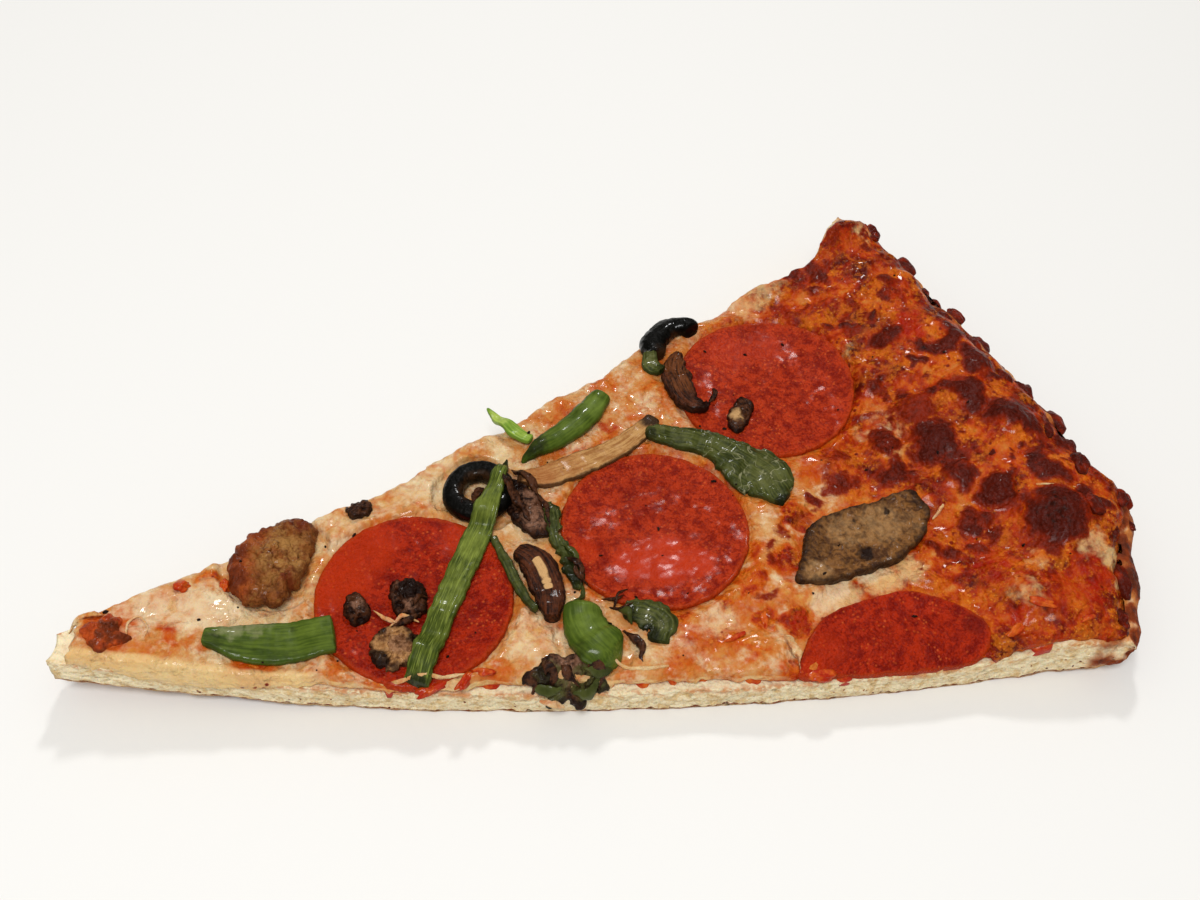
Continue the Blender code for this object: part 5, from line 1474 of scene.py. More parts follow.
    def build(self, looks: dict[Look, Material], cheese: Material, sauce: Material) -> None:
        """Lays each kind of bit as one piece."""
        chance = random.Random(self.seed)
        knobs = []
        for s, t, long, wide, high in self.rim_knobs:
            reach, angle = FORM.polar(np.array(s), np.array(t))
            s, t = FORM.place(np.minimum(reach, FORM.rim_radius(angle) - 0.5 * long), angle)
            knobs.append(lump(float(s), float(t), 1.1 * long, 1.25 * wide, high, chance.uniform(-20, 20), 0.35))
        for _ in range(self.small_knobs):
            angle = np.array(FORM.rim_angle * chance.uniform(-0.7, 0.97))
            s, t = FORM.place(FORM.rim_radius(angle) - chance.uniform(1.6, 7.0), angle)
            size = chance.uniform(0.8, 1.7)
            knobs.append(lump(float(s), float(t), size, size * 1.6, 0.4 * size, chance.uniform(-30, 30), 0.3))
        skin = joined(knobs, baked=0.85, face=1.0)
        s, t, z = skin.points.T
        brown = np.clip(0.8 + 0.5 * NOISE.layered(s / 2.5, t / 2.5, z / 2.5), 0.3, 1.0)
        skin.marks["brown"] = brown * (1.0 - 0.7 * smooth((t - 62.0) / 1.5))
        skin.marks["pale"] = smooth((t - 63.4) / 1.4)
        skin.marks["char"] = np.clip(1.2 * NOISE.layered(s / 4.0, t / 4.0, z / 4.0), 0.0, 0.8)
        skin.make("crust_knob_bits", cheese, "melted_cheese")
        scraps = [lump(*row, rough=0.6) for row in self.orange]
        joined(scraps).make("sauce_scrap_bits", sauce, "tomato_sauce")
        mushroom = looks[Look.DARK_MUSHROOM]
        for name, rows, look, slot, marks in (
            ("cheese_thread_bits", self.pale, cheese, "melted_cheese", {"baked": 0.1, "face": 1.0}),
            ("green_shred_bits", self.green, looks[Look.SOFT_PEPPER], Look.SOFT_PEPPER.slot, {}),
            ("dark_shred_bits", self.dark, mushroom, Look.DARK_MUSHROOM.slot, {}),
        ):
            joined([strand(*row) for row in rows], **marks).make(name, look, slot)
        specks = [lump(30.4, -0.7, 0.4, 0.3, 0.3), lump(13.3, 6.0, 0.6, 0.4, 0.4)]
        for _ in range(self.specks):
            reach = np.array(220.0 * math.sqrt(chance.uniform(0.02, 1.0)))
            share = chance.uniform(0.06, 0.94)
            angle = FORM.front_angle(reach) * (1.0 - share) + FORM.back_angle(reach) * share
            s, t = FORM.place(np.minimum(reach, FORM.rim_radius(angle) - 3.0), angle)
            size = chance.uniform(0.12, 0.34)
            long = size * chance.uniform(1.0, 2.2)
            specks.append(lump(float(s), float(t), long, size, size, chance.uniform(0, 180), 0.5))
        joined(specks, dark=1.0).make("char_speck_bits", mushroom, Look.DARK_MUSHROOM.slot)


Socket = bpy.types.NodeSocket


class Value:
    """A value in a sheet's node tree. Sums on it add the nodes that work them out."""

    def __init__(self, sheet: Sheet, socket: Socket) -> None:
        """Holds the socket that gives the value."""
        self.sheet = sheet
        self.socket = socket

    def __add__(self, other: Fed) -> Value:
        """This and another added up."""
        return self.sheet.calc("ADD", self, other)

    def __radd__(self, other: float) -> Value:
        """A number and this added up."""
        return self.sheet.calc("ADD", other, self)

    def __rsub__(self, other: float) -> Value:
        """A number less this."""
        return self.sheet.calc("SUBTRACT", other, self)

    def __mul__(self, other: Fed) -> Value:
        """The product."""
        return self.sheet.calc("MULTIPLY", self, other)

    def shifted(self, share: float) -> Value:
        """A noise of mean a half, moved to mean 0 and scaled."""
        return self.sheet.calc("SUBTRACT", self, 0.5) * share

    def rise(self, low: Fed, high: Fed) -> Value:
        """A smooth step from 0 at low to 1 at high, or the other way round where high is the lower."""
        fed = {"Value": self, "From Min": low, "From Max": high}
        return self.sheet.get("MapRange", "Result", fed, interpolation_type="SMOOTHSTEP")


Fed = float | Colour | Socket | Value


class Sheet:
    """A node tree and short ways to fill it in. Widths are in millimetres on the piece."""

    def __init__(self, tree: bpy.types.NodeTree) -> None:
        """Starts from an empty tree."""
        self.tree = tree
        tree.nodes.clear()

    def feed(self, socket: Socket, value: Fed) -> None:
        """Links a socket, or sets its own value."""
        value = value.socket if isinstance(value, Value) else value
        if isinstance(value, Socket):
            self.tree.links.new(value, socket)
        elif isinstance(value, tuple) and socket.type == "RGBA":
            socket.default_value = (*value, 1.0)
        else:
            socket.default_value = value

    def node(self, kind: str, fed: dict[str | int, Fed], **settings: object) -> bpy.types.Node:
        """Adds a node of this kind with these settings, and feeds its inputs."""
        made = self.tree.nodes.new("ShaderNode" + kind)
        for key, value in settings.items():
            setattr(made, key, value)
        for key, value in fed.items():
            self.feed(made.inputs[key], value)
        return made

    def get(self, kind: str, output: str | int, fed: dict[str | int, Fed], **settings: object) -> Value:
        """One output of a new node."""
        return Value(self, self.node(kind, fed, **settings).outputs[output])

    def calc(self, kind: str, first: Fed, second: Fed = 0.0, clamp: bool = False) -> Value:
        """One sum of this kind on two values."""
        return self.get("Math", 0, {0: first, 1: second}, operation=kind, use_clamp=clamp)

    def blend(self, share: Fed, first: Fed, second: Fed) -> Value:
        """One colour changed to another by a share."""
        return self.get("Mix", 2, {0: share, 6: first, 7: second}, data_type="RGBA")

    def ramp(self, value: Fed, stops: Sequence[tuple[float, Colour]]) -> Value:
        """A colour along a scale of stops."""
        node = self.node("ValToRGB", {"Fac": value})
        points = node.color_ramp.elements
        while len(points) < len(stops):
            points.new(0.5)
        for point, (place, colour) in zip(points, stops):
            point.position = place
            point.color = (*colour, 1.0)
        return Value(self, node.outputs["Color"])

    def place(self) -> Value:
        """The place on the piece."""
        return self.get("TexCoord", "Object", {})

    def noise(self, width: float, detail: float = 3.0, rough: float = 0.55, bend: float = 0.0) -> Value:
        """Noise with lumps of this width."""
        fed = {"Scale": 1.0 / (width * MM), "Detail": detail, "Roughness": rough, "Distortion": bend}
        return self.get("TexNoise", "Fac", {"Vector": self.place(), **fed})

    def cells(self, width: float, feature: str = "F1", bend: float = 0.0) -> Value:
        """The distance to the nearest of scattered points, in widths, with places shifted by bend millimetres."""
        place = self.place()
        if bend:
            wander = self.get("TexNoise", "Color", {"Vector": place, "Scale": 0.5 / (width * MM)})
            place = self.get("VectorMath", 0, {0: wander, 1: (bend * MM,) * 3, 2: place}, operation="MULTIPLY_ADD")
        return self.get("TexVoronoi", "Distance", {"Vector": place, "Scale": 1.0 / (width * MM)}, feature=feature)

    def mark(self, name: str) -> Value:
        """One of the piece's own marks."""
        return self.get("Attribute", "Fac", {}, attribute_name=name)

    def patch(self, name: str, low: float, high: float, width: float = 1.6, jitter: float = 0.6) -> Value:
        """A mark with a ragged edge: noise is added before a smooth step, and where the mark is 0 it stays 0."""
        mark = self.mark(name)
        ragged = mark + self.noise(width, 4.0).shifted(jitter)
        return ragged.rise(low, high) * mark.rise(0.0, 0.25)

    def paint(self, colour: Fed, *coats: tuple[Fed, Fed]) -> Fed:
        """A colour with coats laid over it in turn, each a share and a tint."""
        for share, tint in coats:
            colour = self.blend(share, colour, tint)
        return colour

    def fibres(self, width: float, stretch: float, detail: float = 4.0) -> Value:
        """Noise drawn out along a strip: its vector is the strip's own length, breadth and height marks."""
        spans = (("along", width * stretch), ("across", width), ("over", width))
        place = self.get("CombineXYZ", 0, {k: self.mark(name) * (1.0 / span) for k, (name, span) in enumerate(spans)})
        return self.get("TexNoise", "Fac", {"Vector": place, "Scale": 1.0, "Detail": detail})

    def use(self, group: bpy.types.NodeTree, output: str, **values: Fed) -> Value:
        """One output of a shared group, placed with its inputs fed."""
        return self.get("Group", output, {key.capitalize(): value for key, value in values.items()}, node_tree=group)


class SharedEffects:
    """The node groups that several finishes place: toasting, mottling and a greasy grain."""

    def __init__(self) -> None:
        """Builds each group once."""
        self.toast = self._toast()
        self.mottle = self._mottle()
        self.grain = self._grain()

    def _start(self, name: str, output: str, **inputs: str) -> tuple[Sheet, list[Value]]:
        """A new group with one output and these inputs, each with the kind of its socket."""
        tree = bpy.data.node_groups.new(name, "ShaderNodeTree")
        kind = "Color" if output == "Colour" else "Float"
        tree.interface.new_socket(output, in_out="OUTPUT", socket_type="NodeSocket" + kind)
        for label, kind in inputs.items():
            tree.interface.new_socket(label, in_out="INPUT", socket_type="NodeSocket" + kind)
        sheet = Sheet(tree)
        given = tree.nodes.new("NodeGroupInput").outputs
        return sheet, [Value(sheet, given[label]) for label in inputs]

    def _end(self, sheet: Sheet, value: Value) -> bpy.types.NodeTree:
        """The group with its output fed."""
        sheet.feed(sheet.tree.nodes.new("NodeGroupOutput").inputs[0], value)
        return sheet.tree

    def _toast(self) -> bpy.types.NodeTree:
        """Browns a colour: a warm halo first, then brown, then near black, with a broken edge."""
        kinds = {"Colour": "Color", "Heat": "Float", "Halo": "Color", "Brown": "Color"}
        sheet, (colour, heat, halo, brown) = self._start("toasting", "Colour", **kinds)
        broken = heat + sheet.noise(1.3, 4.0).shifted(0.8) + sheet.noise(4.0).shifted(0.4)
        broken = broken * heat.rise(0.0, 0.12)
        burnt = (broken.rise(1.05, 1.4), tone(34, 20, 15))
        colour = sheet.paint(colour, (broken.rise(0.08, 0.5), halo), (broken.rise(0.4, 0.95), brown), burnt)
        return self._end(sheet, colour)

    def _mottle(self) -> bpy.types.NodeTree:
        """A patchy mask from two noises, one nearly five times as wide as the other."""
        sheet, (low, high, scale) = self._start("mottling", "Mask", Low="Float", High="Float", Scale="Float")
        broad, narrow = (
            sheet.get("TexNoise", "Fac", {"Vector": sheet.place(), "Scale": scale * factor, "Detail": 3.0}) * share
            for factor, share in ((1.0, 0.65), (4.6, 0.35))
        )
        return self._end(sheet, (broad + narrow).rise(low, high))

    def _grain(self) -> bpy.types.NodeTree:
        """A height of small round bumps over finer noise."""
        sheet, (scale, bumps) = self._start("greasy_grain", "Height", Scale="Float", Bumps="Float")
        place = sheet.place()
        fed = {"Vector": place, "Scale": scale, "Smoothness": 0.6}
        cell = sheet.get("TexVoronoi", "Distance", fed, feature="SMOOTH_F1")
        noise = sheet.get("TexNoise", "Fac", {"Vector": place, "Scale": scale * 1.7, "Detail": 3.0})
        return self._end(sheet, (0.7 - cell) * bumps + noise * 0.6)


class Coating(Sheet):
    """The sheet of one material, with its one Principled shader and the shared effects."""

    effects: SharedEffects

    def __init__(self, name: str) -> None:
        """Starts a new material."""
        self.material = bpy.data.materials.new(name)
        self.material.use_nodes = True
        super().__init__(self.material.node_tree)
        self.shader = self.node("BsdfPrincipled", {})
        self.node("OutputMaterial", {"Surface": self.shader.outputs["BSDF"]})

    def fill(self, fed: dict[str, Fed]) -> None:
        """Feeds the shader's inputs."""
        for key, value in fed.items():
            self.feed(self.shader.inputs[key], value)

    def glaze(self, share: Fed, rough: float) -> None:
        """A wet film that gives crisp glints where this share of it lies."""
        self.fill({"Coat Weight": share, "Coat Roughness": rough, "Coat IOR": 1.45})

    def dress(
        self, colour: Fed, height: Value, depth: float, rough: float, mirror: float = 0.12, soak: float = 0.0
    ) -> Material:
        """Feeds the shader.

        Args:
            colour: The base colour.
            height: The relief, from 0 to 1.
            depth: The relief's depth in millimetres.
            rough: The roughness.
            mirror: The strength of the mirror gloss.
            soak: How much of the light soaks in and comes out nearby.

        Returns:
            The finished material.
        """
        normal = self.get("Bump", "Normal", {"Distance": depth * MM, "Height": height})
        self.fill({"Base Color": colour, "Normal": normal, "Roughness": rough, "Specular IOR Level": mirror})
        if soak:
            self.fill({"Subsurface Weight": soak, "Subsurface Radius": (1.0, 0.5, 0.2), "Subsurface Scale": 0.0012})
        return self.material

    def toasted(self, colour: Fed, heat: Fed, halo: Colour, brown: Colour) -> Value:
        """A colour browned by the toasting group."""
        return self.use(self.effects.toast, "Colour", colour=colour, heat=heat, halo=halo, brown=brown)

    def mottled(self, width: float, low: float, high: float) -> Value:
        """The mottling group's mask for patches of this width in millimetres."""
        return self.use(self.effects.mottle, "Mask", low=low, high=high, scale=1.0 / (width * MM))

    def grained(self, width: float, bumps: float) -> Value:
        """The grain group's height for bumps of this width in millimetres."""
        return self.use(self.effects.grain, "Height", scale=1.0 / (width * MM), bumps=bumps)


@dataclass(frozen=True)
class CheeseFinish:
    """Cream near the tip, orange-red near the crust, with glossy brown blisters."""

    stops: tuple = (
        (0.0, tone(212, 180, 132)), (0.2, tone(198, 142, 86)), (0.36, tone(190, 110, 46)), (0.5, tone(186, 80, 18)),
        (0.64, tone(164, 50, 8)), (0.8, tone(130, 32, 6)), (1.0, tone(84, 20, 8)),
    )
    curd: Colour = tone(226, 206, 168)
    butter: Colour = tone(208, 154, 78)
    straw: Colour = tone(224, 192, 132)
    sauce: Colour = tone(160, 30, 6)
    halo: Colour = tone(126, 36, 10)
    brown: Colour = tone(80, 26, 16)
    golden: Colour = tone(206, 108, 20)
    oil: Colour = tone(184, 84, 26)
    # Tiny bright golden points laid over the hot crust: painted sparkle in place of oil glints.
    painted_sparkle: Colour = tone(228, 146, 52)

    def material(self) -> Material:
        """Base colours by heat, then curd, sauce, painted sparkle and toasting; a wet skin with clusters of small
        bumps.
        """
        sheet = Coating("melted_cheese_finish")
        baked = sheet.mark("baked")
        hot = baked.rise(0.34, 0.56)
        cool = 1.0 - hot
        sway = sheet.noise(6.5, 3.0, 0.5, 0.6).shifted(1.2) + sheet.noise(1.8).shifted(0.5)
        heat = baked + sway * (0.6 + hot * 0.5)
        net = sheet.cells(3.6, "DISTANCE_TO_EDGE", 4.0)
        seam = net.rise(0.2, 0.0) * sheet.noise(7.0).rise(0.44, 0.6)
        colour = sheet.paint(
            sheet.ramp(heat, self.stops),
            (sheet.mottled(5.0, 0.5, 0.6) * (hot * 0.55), self.golden),
            (sheet.mottled(1.5, 0.52, 0.64) * (hot * 0.5), self.golden),
            (sheet.mottled(7.0, 0.46, 0.66) * (cool * 0.45), self.butter),
            (sheet.mottled(4.6, 0.46, 0.66) * (cool * 0.6), self.curd),
            (sheet.mottled(2.4, 0.5, 0.64) * (cool * 0.4), self.oil),
            # Painted sparkle: clusters of tiny bright golden points over the hot crust, in place of glints.
            (sheet.cells(0.9).rise(0.34, 0.14) * sheet.noise(5.0).rise(0.45, 0.6) * (hot * 0.45), self.painted_sparkle),
            (seam * 0.5, self.oil),
            (sheet.patch("red", 0.35, 0.9, 2.4, 0.9) * 0.8, self.sauce),
            (sheet.patch("pale", 0.2, 1.1, 2.2, 1.7) * 0.65, sheet.blend(hot, self.curd, self.straw)),
            (sheet.patch("bare", 0.3, 1.0, 3.0, 0.5) * 0.7, self.straw),
        )
        freckle = sheet.cells(2.4).rise(0.3, 0.1) * sheet.noise(9.0).rise(0.48, 0.6)
        browned = sheet.calc("MAXIMUM", sheet.mark("brown"), freckle * hot * 0.55)
        browned = browned + sheet.mark("char") * 0.25
        toast = sheet.toasted(colour, browned, self.halo, self.brown)
        wall = sheet.mark("wall") * cool * sheet.noise(2.6, 4.0).rise(0.36, 0.6)
        colour = sheet.blend(wall * 0.6, toast, self.straw)
        wet = sheet.noise(4.0).rise(0.42, 0.62) * (0.5 - hot * 0.2)
        sheet.glaze(wet * sheet.calc("SUBTRACT", 1.0, browned * 0.85, clamp=True), 0.1)
        cluster = sheet.mottled(5.0, 0.48, 0.62) * 0.3
        fine = sheet.grained(1.0, 0.9) * (cluster + 0.08 + hot * 0.22)
        clump = sheet.calc("MINIMUM", net, 0.3) * 0.45
        height = fine + clump + sheet.noise(3.0, 3.0) * 0.8 + sheet.noise(1.4, 1.0) * 0.25
        return sheet.dress(colour, height, 1.15, 0.36, 0.11, 0.2)


@dataclass(frozen=True)
class DoughFinish:
    """A pale porous crumb at the cuts, a tan baked skin, burnt knobs and a browned underside."""

    crumb: Colour = tone(238, 222, 184)
    crumb_deep: Colour = tone(212, 178, 124)
    gold: Colour = tone(196, 122, 62)
    halo: Colour = tone(134, 58, 22)
    brown: Colour = tone(82, 36, 20)
    under: Colour = tone(206, 158, 100)

    def material(self) -> Material:
        """Crumb where cut, then the baked skin, the brown base line, and toasting by the marks."""
        sheet = Coating("baked_dough_finish")
        rise = sheet.mark("rise")
        crumb = sheet.paint(
            self.crumb,
            (sheet.mottled(2.2, 0.42, 0.66), self.crumb_deep),
            (sheet.cells(1.3).rise(0.3, 0.12) * 0.6, self.crumb_deep),
            (rise.rise(0.66, 0.98) * sheet.mottled(4.0, 0.46, 0.58) * 0.75, tone(196, 110, 48)),
        )
        baked = sheet.mark("bake") + sheet.noise(3.5, 4.0).shifted(0.6)
        skin = sheet.ramp(baked, ((0.0, self.crumb), (0.45, self.gold), (0.85, self.halo), (1.0, self.brown)))
        under = sheet.blend(sheet.mottled(6.0, 0.4, 0.65), self.under, self.halo)
        inner = sheet.mark("cut") * sheet.mark("bake").rise(0.9, 0.35)
        colour = sheet.paint(skin, (sheet.mark("under"), under), (inner, crumb))
        line = rise.rise(0.16, 0.0) + sheet.noise(1.6, 4.0).shifted(0.9)
        line = line.rise(0.45, 0.8) * rise.rise(0.3, 0.12) * sheet.mark("cut")
        speck = sheet.cells(2.3).rise(0.16, 0.08) * rise.rise(0.75, 0.25)
        heat = sheet.calc("MAXIMUM", line * 0.62, speck * 0.8)
        heat = sheet.calc("MAXIMUM", heat, sheet.mark("char") * 0.95)
        toast = sheet.toasted(colour, heat, self.halo, self.brown)
        height = sheet.grained(1.1, 0.9) + sheet.noise(2.6, 5.0)
        return sheet.dress(toast, height, 0.55, 0.62, 0.15, 0.12)


@dataclass(frozen=True)
class SauceFinish:
    """Cooked tomato: red to orange, wet and a little pulpy."""

    red: Colour = tone(166, 40, 10)
    orange: Colour = tone(200, 92, 28)

    def material(self) -> Material:
        """Red mottled with orange, with a wet pulp of fine bumps."""
        sheet = Coating("tomato_sauce_finish")
        sheet.glaze(0.3, 0.12)
        colour = sheet.blend(sheet.mottled(3.0, 0.42, 0.66), self.red, self.orange)
        return sheet.dress(colour, sheet.grained(0.9, 0.8), 0.25, 0.45)


@dataclass(frozen=True)
class PepperoniFinish:
    """Cured sausage: ground-meat mottling, pale flecks of fat, an oily skin and a darker rim."""

    look: Look
    meat: Colour
    deep: Colour
    warm: Colour = tone(180, 50, 12)
    fat: Colour = tone(204, 92, 40)

    def material(self) -> Material:
        """Meat and fat flecks, then warm and dark places, then the browned rim."""
        sheet = Coating(self.look.finish)
        oil = sheet.mark("oil")
        fat = sheet.cells(1.1).rise(0.34, 0.1) * sheet.noise(4.0).rise(0.4, 0.6)
        edge = (sheet.mark("rim") + sheet.noise(3.0).shifted(0.1)).rise(0.93, 0.98)
        colour = sheet.paint(
            self.meat,
            (sheet.mottled(2.6, 0.4, 0.66), self.deep),
            (sheet.noise(1.6, 4.0, 0.6, 1.5).rise(0.5, 0.6) * 0.7, self.deep),
            (fat * 0.55, self.fat),
            (sheet.patch("warm", 0.3, 1.0, 2.6, 0.7) * 0.7, self.warm),
            (sheet.patch("dark", 0.35, 1.1, 2.2) * 0.7, tone(100, 20, 12)),
            (edge * 0.5, tone(166, 58, 16)),
        )
        grease = sheet.noise(4.0).rise(0.46, 0.64) * 0.1
        sheet.glaze(oil * 0.03 + grease, 0.12)
        dry = 1.0 - oil * 0.6
        fine = sheet.grained(0.55, 0.9) * (dry * 0.9)
        broad = sheet.noise(2.0, 4.0) * (dry * 0.9)
        height = fine + broad + sheet.noise(9.0, 0.0) * 0.4
        return sheet.dress(colour, height, 0.36, 0.36, 0.08, 0.05)


@dataclass(frozen=True)
class SausageFinish:
    """Ground sausage: pinkish brown nuggets with crisp brown crests."""

    look: Look
    meat: Colour
    deep: Colour
    pale: Colour = tone(158, 112, 60)
    halo: Colour = tone(106, 46, 20)
    brown: Colour = tone(62, 32, 18)

    def material(self) -> Material:
        """Mottled meat, oranger where marked, toasted where dark."""
        sheet = Coating(self.look.finish)
        colour = sheet.paint(
            self.meat,
            (sheet.mottled(2.0, 0.4, 0.62), self.deep),
            (sheet.mark("warm") * 0.5, tone(172, 72, 26)),
            (sheet.mark("pale") * sheet.mottled(2.4, 0.36, 0.6), self.pale),
            (sheet.cells(2.1).rise(0.3, 0.1) * 0.35, self.pale),
        )
        toast = sheet.toasted(colour, sheet.mark("dark") * 0.8, self.halo, self.brown)
        sheet.glaze(sheet.noise(2.6).rise(0.45, 0.65) * 0.3, 0.15)
        height = sheet.grained(0.9, 0.7) + sheet.noise(2.2, 4.0) * 1.4
        return sheet.dress(toast, height, 0.5, 0.5)


@dataclass(frozen=True)
class MushroomFinish:
    """Roasted mushroom: streaky flesh between this pale and this dark, with scorched places."""

    look: Look
    pale: Colour
    dark: Colour
    tan: Colour = tone(200, 156, 104)
    scorched: Colour = tone(32, 20, 16)
    pink: Colour = tone(144, 104, 82)
    warm: Colour = tone(120, 70, 36)
    leaf: Colour = tone(78, 84, 44)
    wet: float = 0.25
    fibrous: bool = False

    def material(self) -> Material:
        """Streaks, tan flesh and scorched places, with a leathery relief."""
        sheet = Coating(self.look.finish)
        streak = sheet.noise(2.4, 5.0, 0.6, 1.2) * 0.7 + sheet.noise(0.8, 3.0) * 0.3
        if self.fibrous:
            streak = streak * 0.4 + sheet.fibres(0.5, 9.0) * 0.6
        edge = sheet.mark("rim") + sheet.noise(1.8).shifted(0.3)
        broken = streak.rise(0.35, 0.6)
        tints = (("pink", self.pink, 0.7), ("warm", self.warm, 0.6), ("green", self.leaf, 0.8))
        coats = [(sheet.mark(key).rise(0.2, 0.8) * broken * share, tint) for key, tint, share in tints]
        colour = sheet.paint(
            sheet.blend(streak.rise(0.4, 0.6), self.dark, self.pale),
            *coats,
            (sheet.patch("tan", 0.15, 1.1, 1.4, 0.7) * 0.85, self.tan),
            (sheet.mark("toast") * 0.55, tone(160, 92, 48)),
            (sheet.patch("dark", 0.25, 0.95, 1.2) * 0.92, self.scorched),
            (edge.rise(0.82, 1.0) * 0.75, self.scorched),
        )
        if self.fibrous:
            colour = sheet.blend(sheet.mark("slit").rise(0.1, 0.4), colour, self.tan)
        sheet.glaze(sheet.noise(2.4).rise(0.48, 0.66) * self.wet, 0.14)
        height = sheet.grained(0.9, 0.5) + streak * 1.6
        return sheet.dress(colour, height, 0.4, 0.42)


@dataclass(frozen=True)
class OliveFinish:
    """Black olive: near black, wet, with a brown inside."""

    skin: Colour = tone(16, 15, 12)
    flesh: Colour = tone(58, 38, 22)

    def material(self) -> Material:
        """Black flesh, browner in the hole, under a fine wet grain."""
        sheet = Coating(Look.OLIVE.finish)
        share = sheet.mark("hole").rise(0.2, 0.9) * sheet.mottled(2.0, 0.35, 0.6)
        # Greyer mottled patches over the black skin.
        grey_mottle = sheet.mottled(1.2, 0.5, 0.7) * 0.3
        colour = sheet.paint(self.skin, (share, self.flesh), (grey_mottle, tone(38, 34, 30)))
        sheet.glaze(sheet.noise(2.6).rise(0.42, 0.6) * 0.5, 0.12)
        height = sheet.grained(0.7, 1.0) * 0.5 + sheet.noise(2.4) * 1.2
        return sheet.dress(colour, height, 0.22, 0.45, 0.08)


@dataclass(frozen=True)
class PepperFinish:
    """Green pepper: skin between two greens, with lighter, filmed and scorched places."""

    look: Look
    deep: Colour
    light: Colour
    bright: Colour
    gloss: float
    wrinkle: float
    threads: float

    def material(self) -> Material:
        """Streaks along the strip, then the marked places, under a glossy skin."""
        sheet = Coating(self.look.finish)
        streak = sheet.noise(4.0, 3.0) * 0.35 + sheet.fibres(0.5, 10.0) * 0.65
        thread = sheet.fibres(0.3, 14.0, 2.0).rise(0.52, 0.66)
        crest = sheet.calc("ABSOLUTE", sheet.noise(5.0, 2.0, 0.5, 0.8).shifted(1.0))
        vein = crest.rise(0.02, 0.006) * sheet.mark("veins").rise(0.1, 0.8)
        vein = vein * sheet.noise(3.0).rise(0.4, 0.55)
        colour = sheet.paint(
            sheet.blend(streak.rise(0.38, 0.62), self.deep, self.light),
            (sheet.patch("light", 0.3, 1.1, 1.8, 0.7) * 0.65, self.bright),
            (thread * (0.5 * self.threads), self.bright),
            (sheet.mark("rim").rise(0.7, 1.0) * 0.55, self.deep),
            (sheet.patch("dark", 0.35, 0.95) * 0.85, tone(28, 30, 16)),
            (sheet.patch("film", 0.4, 0.9, 1.7, 0.9) * 0.4, tone(164, 156, 122)),
            (vein * 0.5, tone(160, 156, 120)),
        )
        sheet.glaze(sheet.noise(4.0).rise(0.42, 0.62) * 0.4, self.gloss)
        threads = sheet.fibres(0.35, 12.0) * (0.9 * self.threads)
        height = sheet.noise(2.6, 2.0) * (0.7 - 0.4 * self.threads) + threads
        if self.wrinkle > 0.5:
            height = height + crest * 2.5
        return sheet.dress(colour, height, self.wrinkle, 0.42)


class Studio:
    """A pale floor, a soft overhead light, a weak fill and the camera."""

    camera_place: tuple = (-0.066121, -0.155990, 0.247420)
    heading: float = 22.977
    pitch: float = 51.45
    roll: float = 4.53
    lens: float = 40.0
    sky: float = 0.52
    unmirrored: float = 0.88
    reach: float = 6.0
    gap: float = 0.0001

    def floor(self) -> None:
        """A wide pale floor just under the slice."""
        mesh = bpy.data.meshes.new("floor")
        corners = [(self.reach * x, self.reach * y, -self.gap) for x, y in ((-1, -1), (1, -1), (1, 1), (-1, 1))]
        mesh.from_pydata(corners, [], [(0, 1, 2, 3)])
        material = bpy.data.materials.new("floor_finish")
        material.use_nodes = True
        shader = material.node_tree.nodes["Principled BSDF"]
        shader.inputs["Base Color"].default_value = (0.81, 0.80, 0.775, 1.0)
        shader.inputs["Roughness"].default_value = 0.7
        mesh.materials.append(material)
        linked("floor", mesh)

    def _area(self, name: str, place: tuple, aim: tuple, size: float, watts: float) -> None:
        """A square soft light at a place, turned so that its back axis points away from its aim."""
        data = bpy.data.lights.new(name, "AREA")
        data.size = size
        data.energy = watts
        back = np.array(place) - np.array(aim)
        back /= np.linalg.norm(back)
        right = np.cross((0.0, 1.0, 0.001), back)
        right /= np.linalg.norm(right)
        linked(name, data).matrix_world = self._frame(right, np.cross(back, right), back, place)

    def _frame(self, right: Array, up: Array, back: Array, place: tuple) -> Matrix:
        """The matrix whose columns are three axes and a place."""
        whole = np.eye(4)
        whole[:3, 0], whole[:3, 1], whole[:3, 2], whole[:3, 3] = right, up, back, place
        return Matrix(whole.tolist())

    def lights(self) -> None:
        """A soft light above the camera, a smaller one behind, and an even pale sky that gloss hardly mirrors."""
        self._area("key_light", (-0.25, -0.35, 1.0), (0.0, 0.0, 0.0), 0.35, 6.5)
        self._area("back_light", (0.3, 0.7, 0.9), (0.0, 0.0, 0.0), 0.11, 3.5)
        world = bpy.data.worlds.new("pale_sky")
        world.use_nodes = True
        sheet = Sheet(world.node_tree)
        glossy = sheet.get("LightPath", "Is Glossy Ray", {})
        strength = self.sky - glossy * (self.unmirrored * self.sky)
        sky = sheet.node("Background", {"Color": (1.0, 0.99, 0.97), "Strength": strength})
        sheet.node("OutputWorld", {"Surface": sky.outputs["Background"]})
        bpy.context.scene.world = world
        bpy.context.scene.view_settings.view_transform = "Standard"
        bpy.context.scene.view_settings.look = "None"

    def camera(self) -> None:
        """The camera, turned by its heading, tipped down by its pitch and rolled."""
        turn, tip, roll = (math.radians(v) for v in (self.heading, self.pitch, self.roll))
        right = np.array([math.cos(turn), -math.sin(turn), 0.0])
        ahead = np.array([math.sin(turn) * math.cos(tip), math.cos(turn) * math.cos(tip), -math.sin(tip)])
        up = np.cross(right, ahead)
        data = bpy.data.cameras.new("photo_camera")
        data.lens = self.lens
        data.sensor_width = 36.0
        data.clip_start = 0.01
        rolled_right = math.cos(roll) * right + math.sin(roll) * up
        rolled_up = math.cos(roll) * up - math.sin(roll) * right
        made = linked("photo_camera", data)
        made.matrix_world = self._frame(rolled_right, rolled_up, -ahead, self.camera_place)
        bpy.context.scene.camera = made

    def build(self) -> None:
        """Sets the whole studio."""
        self.floor()
        self.lights()
        self.camera()


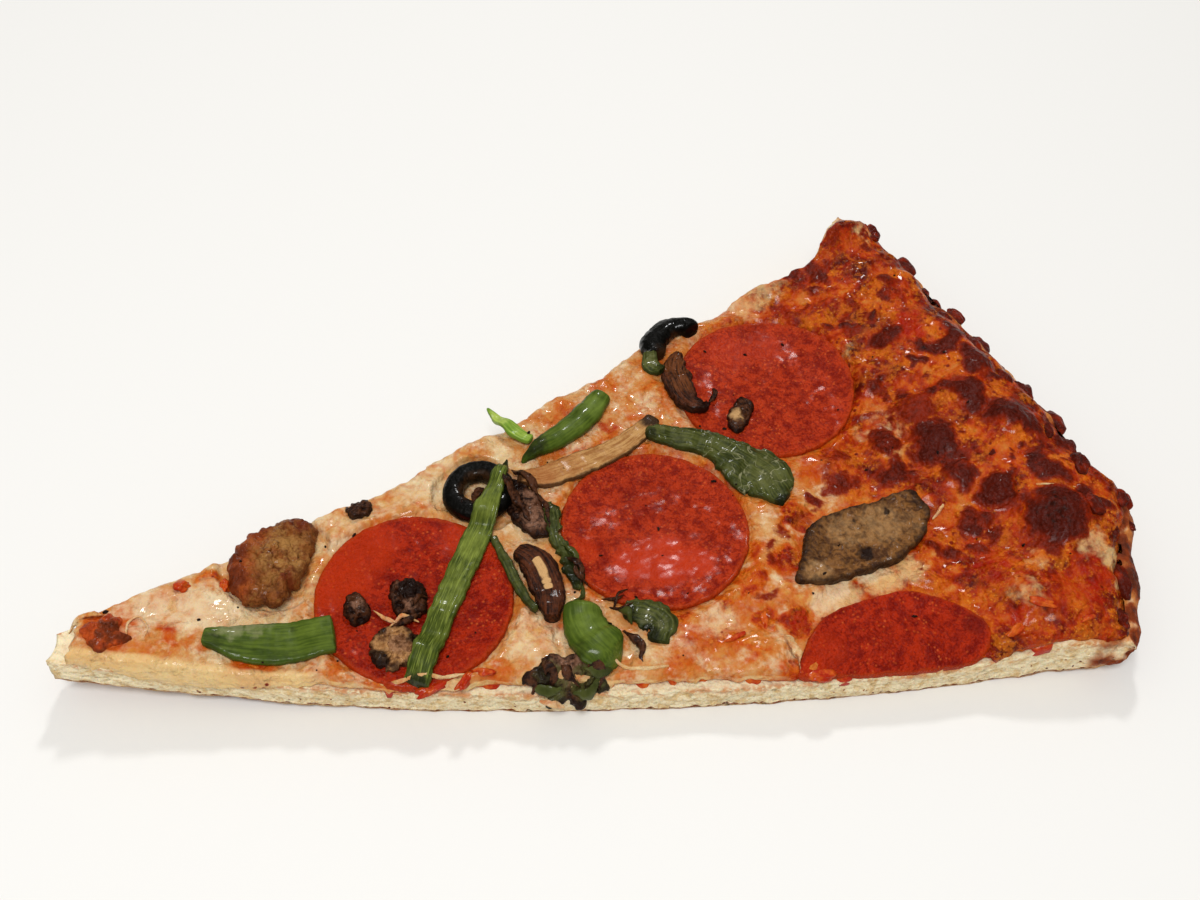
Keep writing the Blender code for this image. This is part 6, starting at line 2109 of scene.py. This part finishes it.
def main() -> None:
    """Builds the slice from the dough up."""
    logging.basicConfig(level=logging.INFO, format="%(name)s: %(message)s")
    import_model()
    Coating.effects = SharedEffects()
    dough = DoughFinish().material()
    sauce = SauceFinish().material()
    cheese = CheeseFinish().material()
    finishes = [
        PepperoniFinish(Look.BRIGHT_PEPPERONI, tone(162, 42, 14), tone(112, 20, 8)),
        PepperoniFinish(Look.DEEP_PEPPERONI, tone(172, 54, 24), tone(118, 26, 13)),
        SausageFinish(Look.SAUSAGE, tone(130, 74, 34), tone(90, 46, 20)),
        SausageFinish(Look.RED_SAUSAGE, tone(184, 76, 28), tone(130, 36, 12)),
        MushroomFinish(Look.GREY_MUSHROOM, tone(128, 86, 46), tone(76, 48, 28)),
        MushroomFinish(Look.DARK_MUSHROOM, tone(80, 48, 30), tone(34, 20, 15)),
        MushroomFinish(Look.DARK_CURL, tone(86, 46, 26), tone(38, 22, 16), fibrous=True),
        MushroomFinish(Look.TAN_MUSHROOM, tone(178, 130, 82), tone(104, 68, 42)),
        MushroomFinish(Look.TAN_STEM, tone(188, 142, 88), tone(150, 100, 54), wet=0.12, fibrous=True),
        OliveFinish(),
        PepperFinish(Look.GREEN_PEPPER, tone(54, 66, 20), tone(90, 100, 36), tone(138, 150, 66), 0.14, 0.3, 1.0),
        PepperFinish(Look.SMOOTH_PEPPER, tone(58, 74, 22), tone(82, 98, 32), tone(116, 134, 56), 0.1, 0.3, 0.15),
        PepperFinish(Look.SOFT_PEPPER, tone(46, 52, 22), tone(80, 84, 40), tone(118, 118, 70), 0.12, 0.55, 0.3),
        PepperFinish(Look.PALE_PEPPER, tone(96, 128, 40), tone(140, 166, 62), tone(186, 200, 100), 0.2, 0.2, 0.6),
    ]
    looks = {look: finish.material() for look, finish in zip(Look, finishes)}
    DoughBase().build(dough)
    TomatoSauce().build(sauce)
    MeltedCheese().build(cheese)
    for kind in (PepperoniRounds, SausagePieces, MushroomSlices, MushroomStrips, OlivePieces, PepperStrips):
        kind().build(looks)
    LooseBits().build(looks, cheese, sauce)
    Studio().build()


if __name__ == "__main__":
    main()
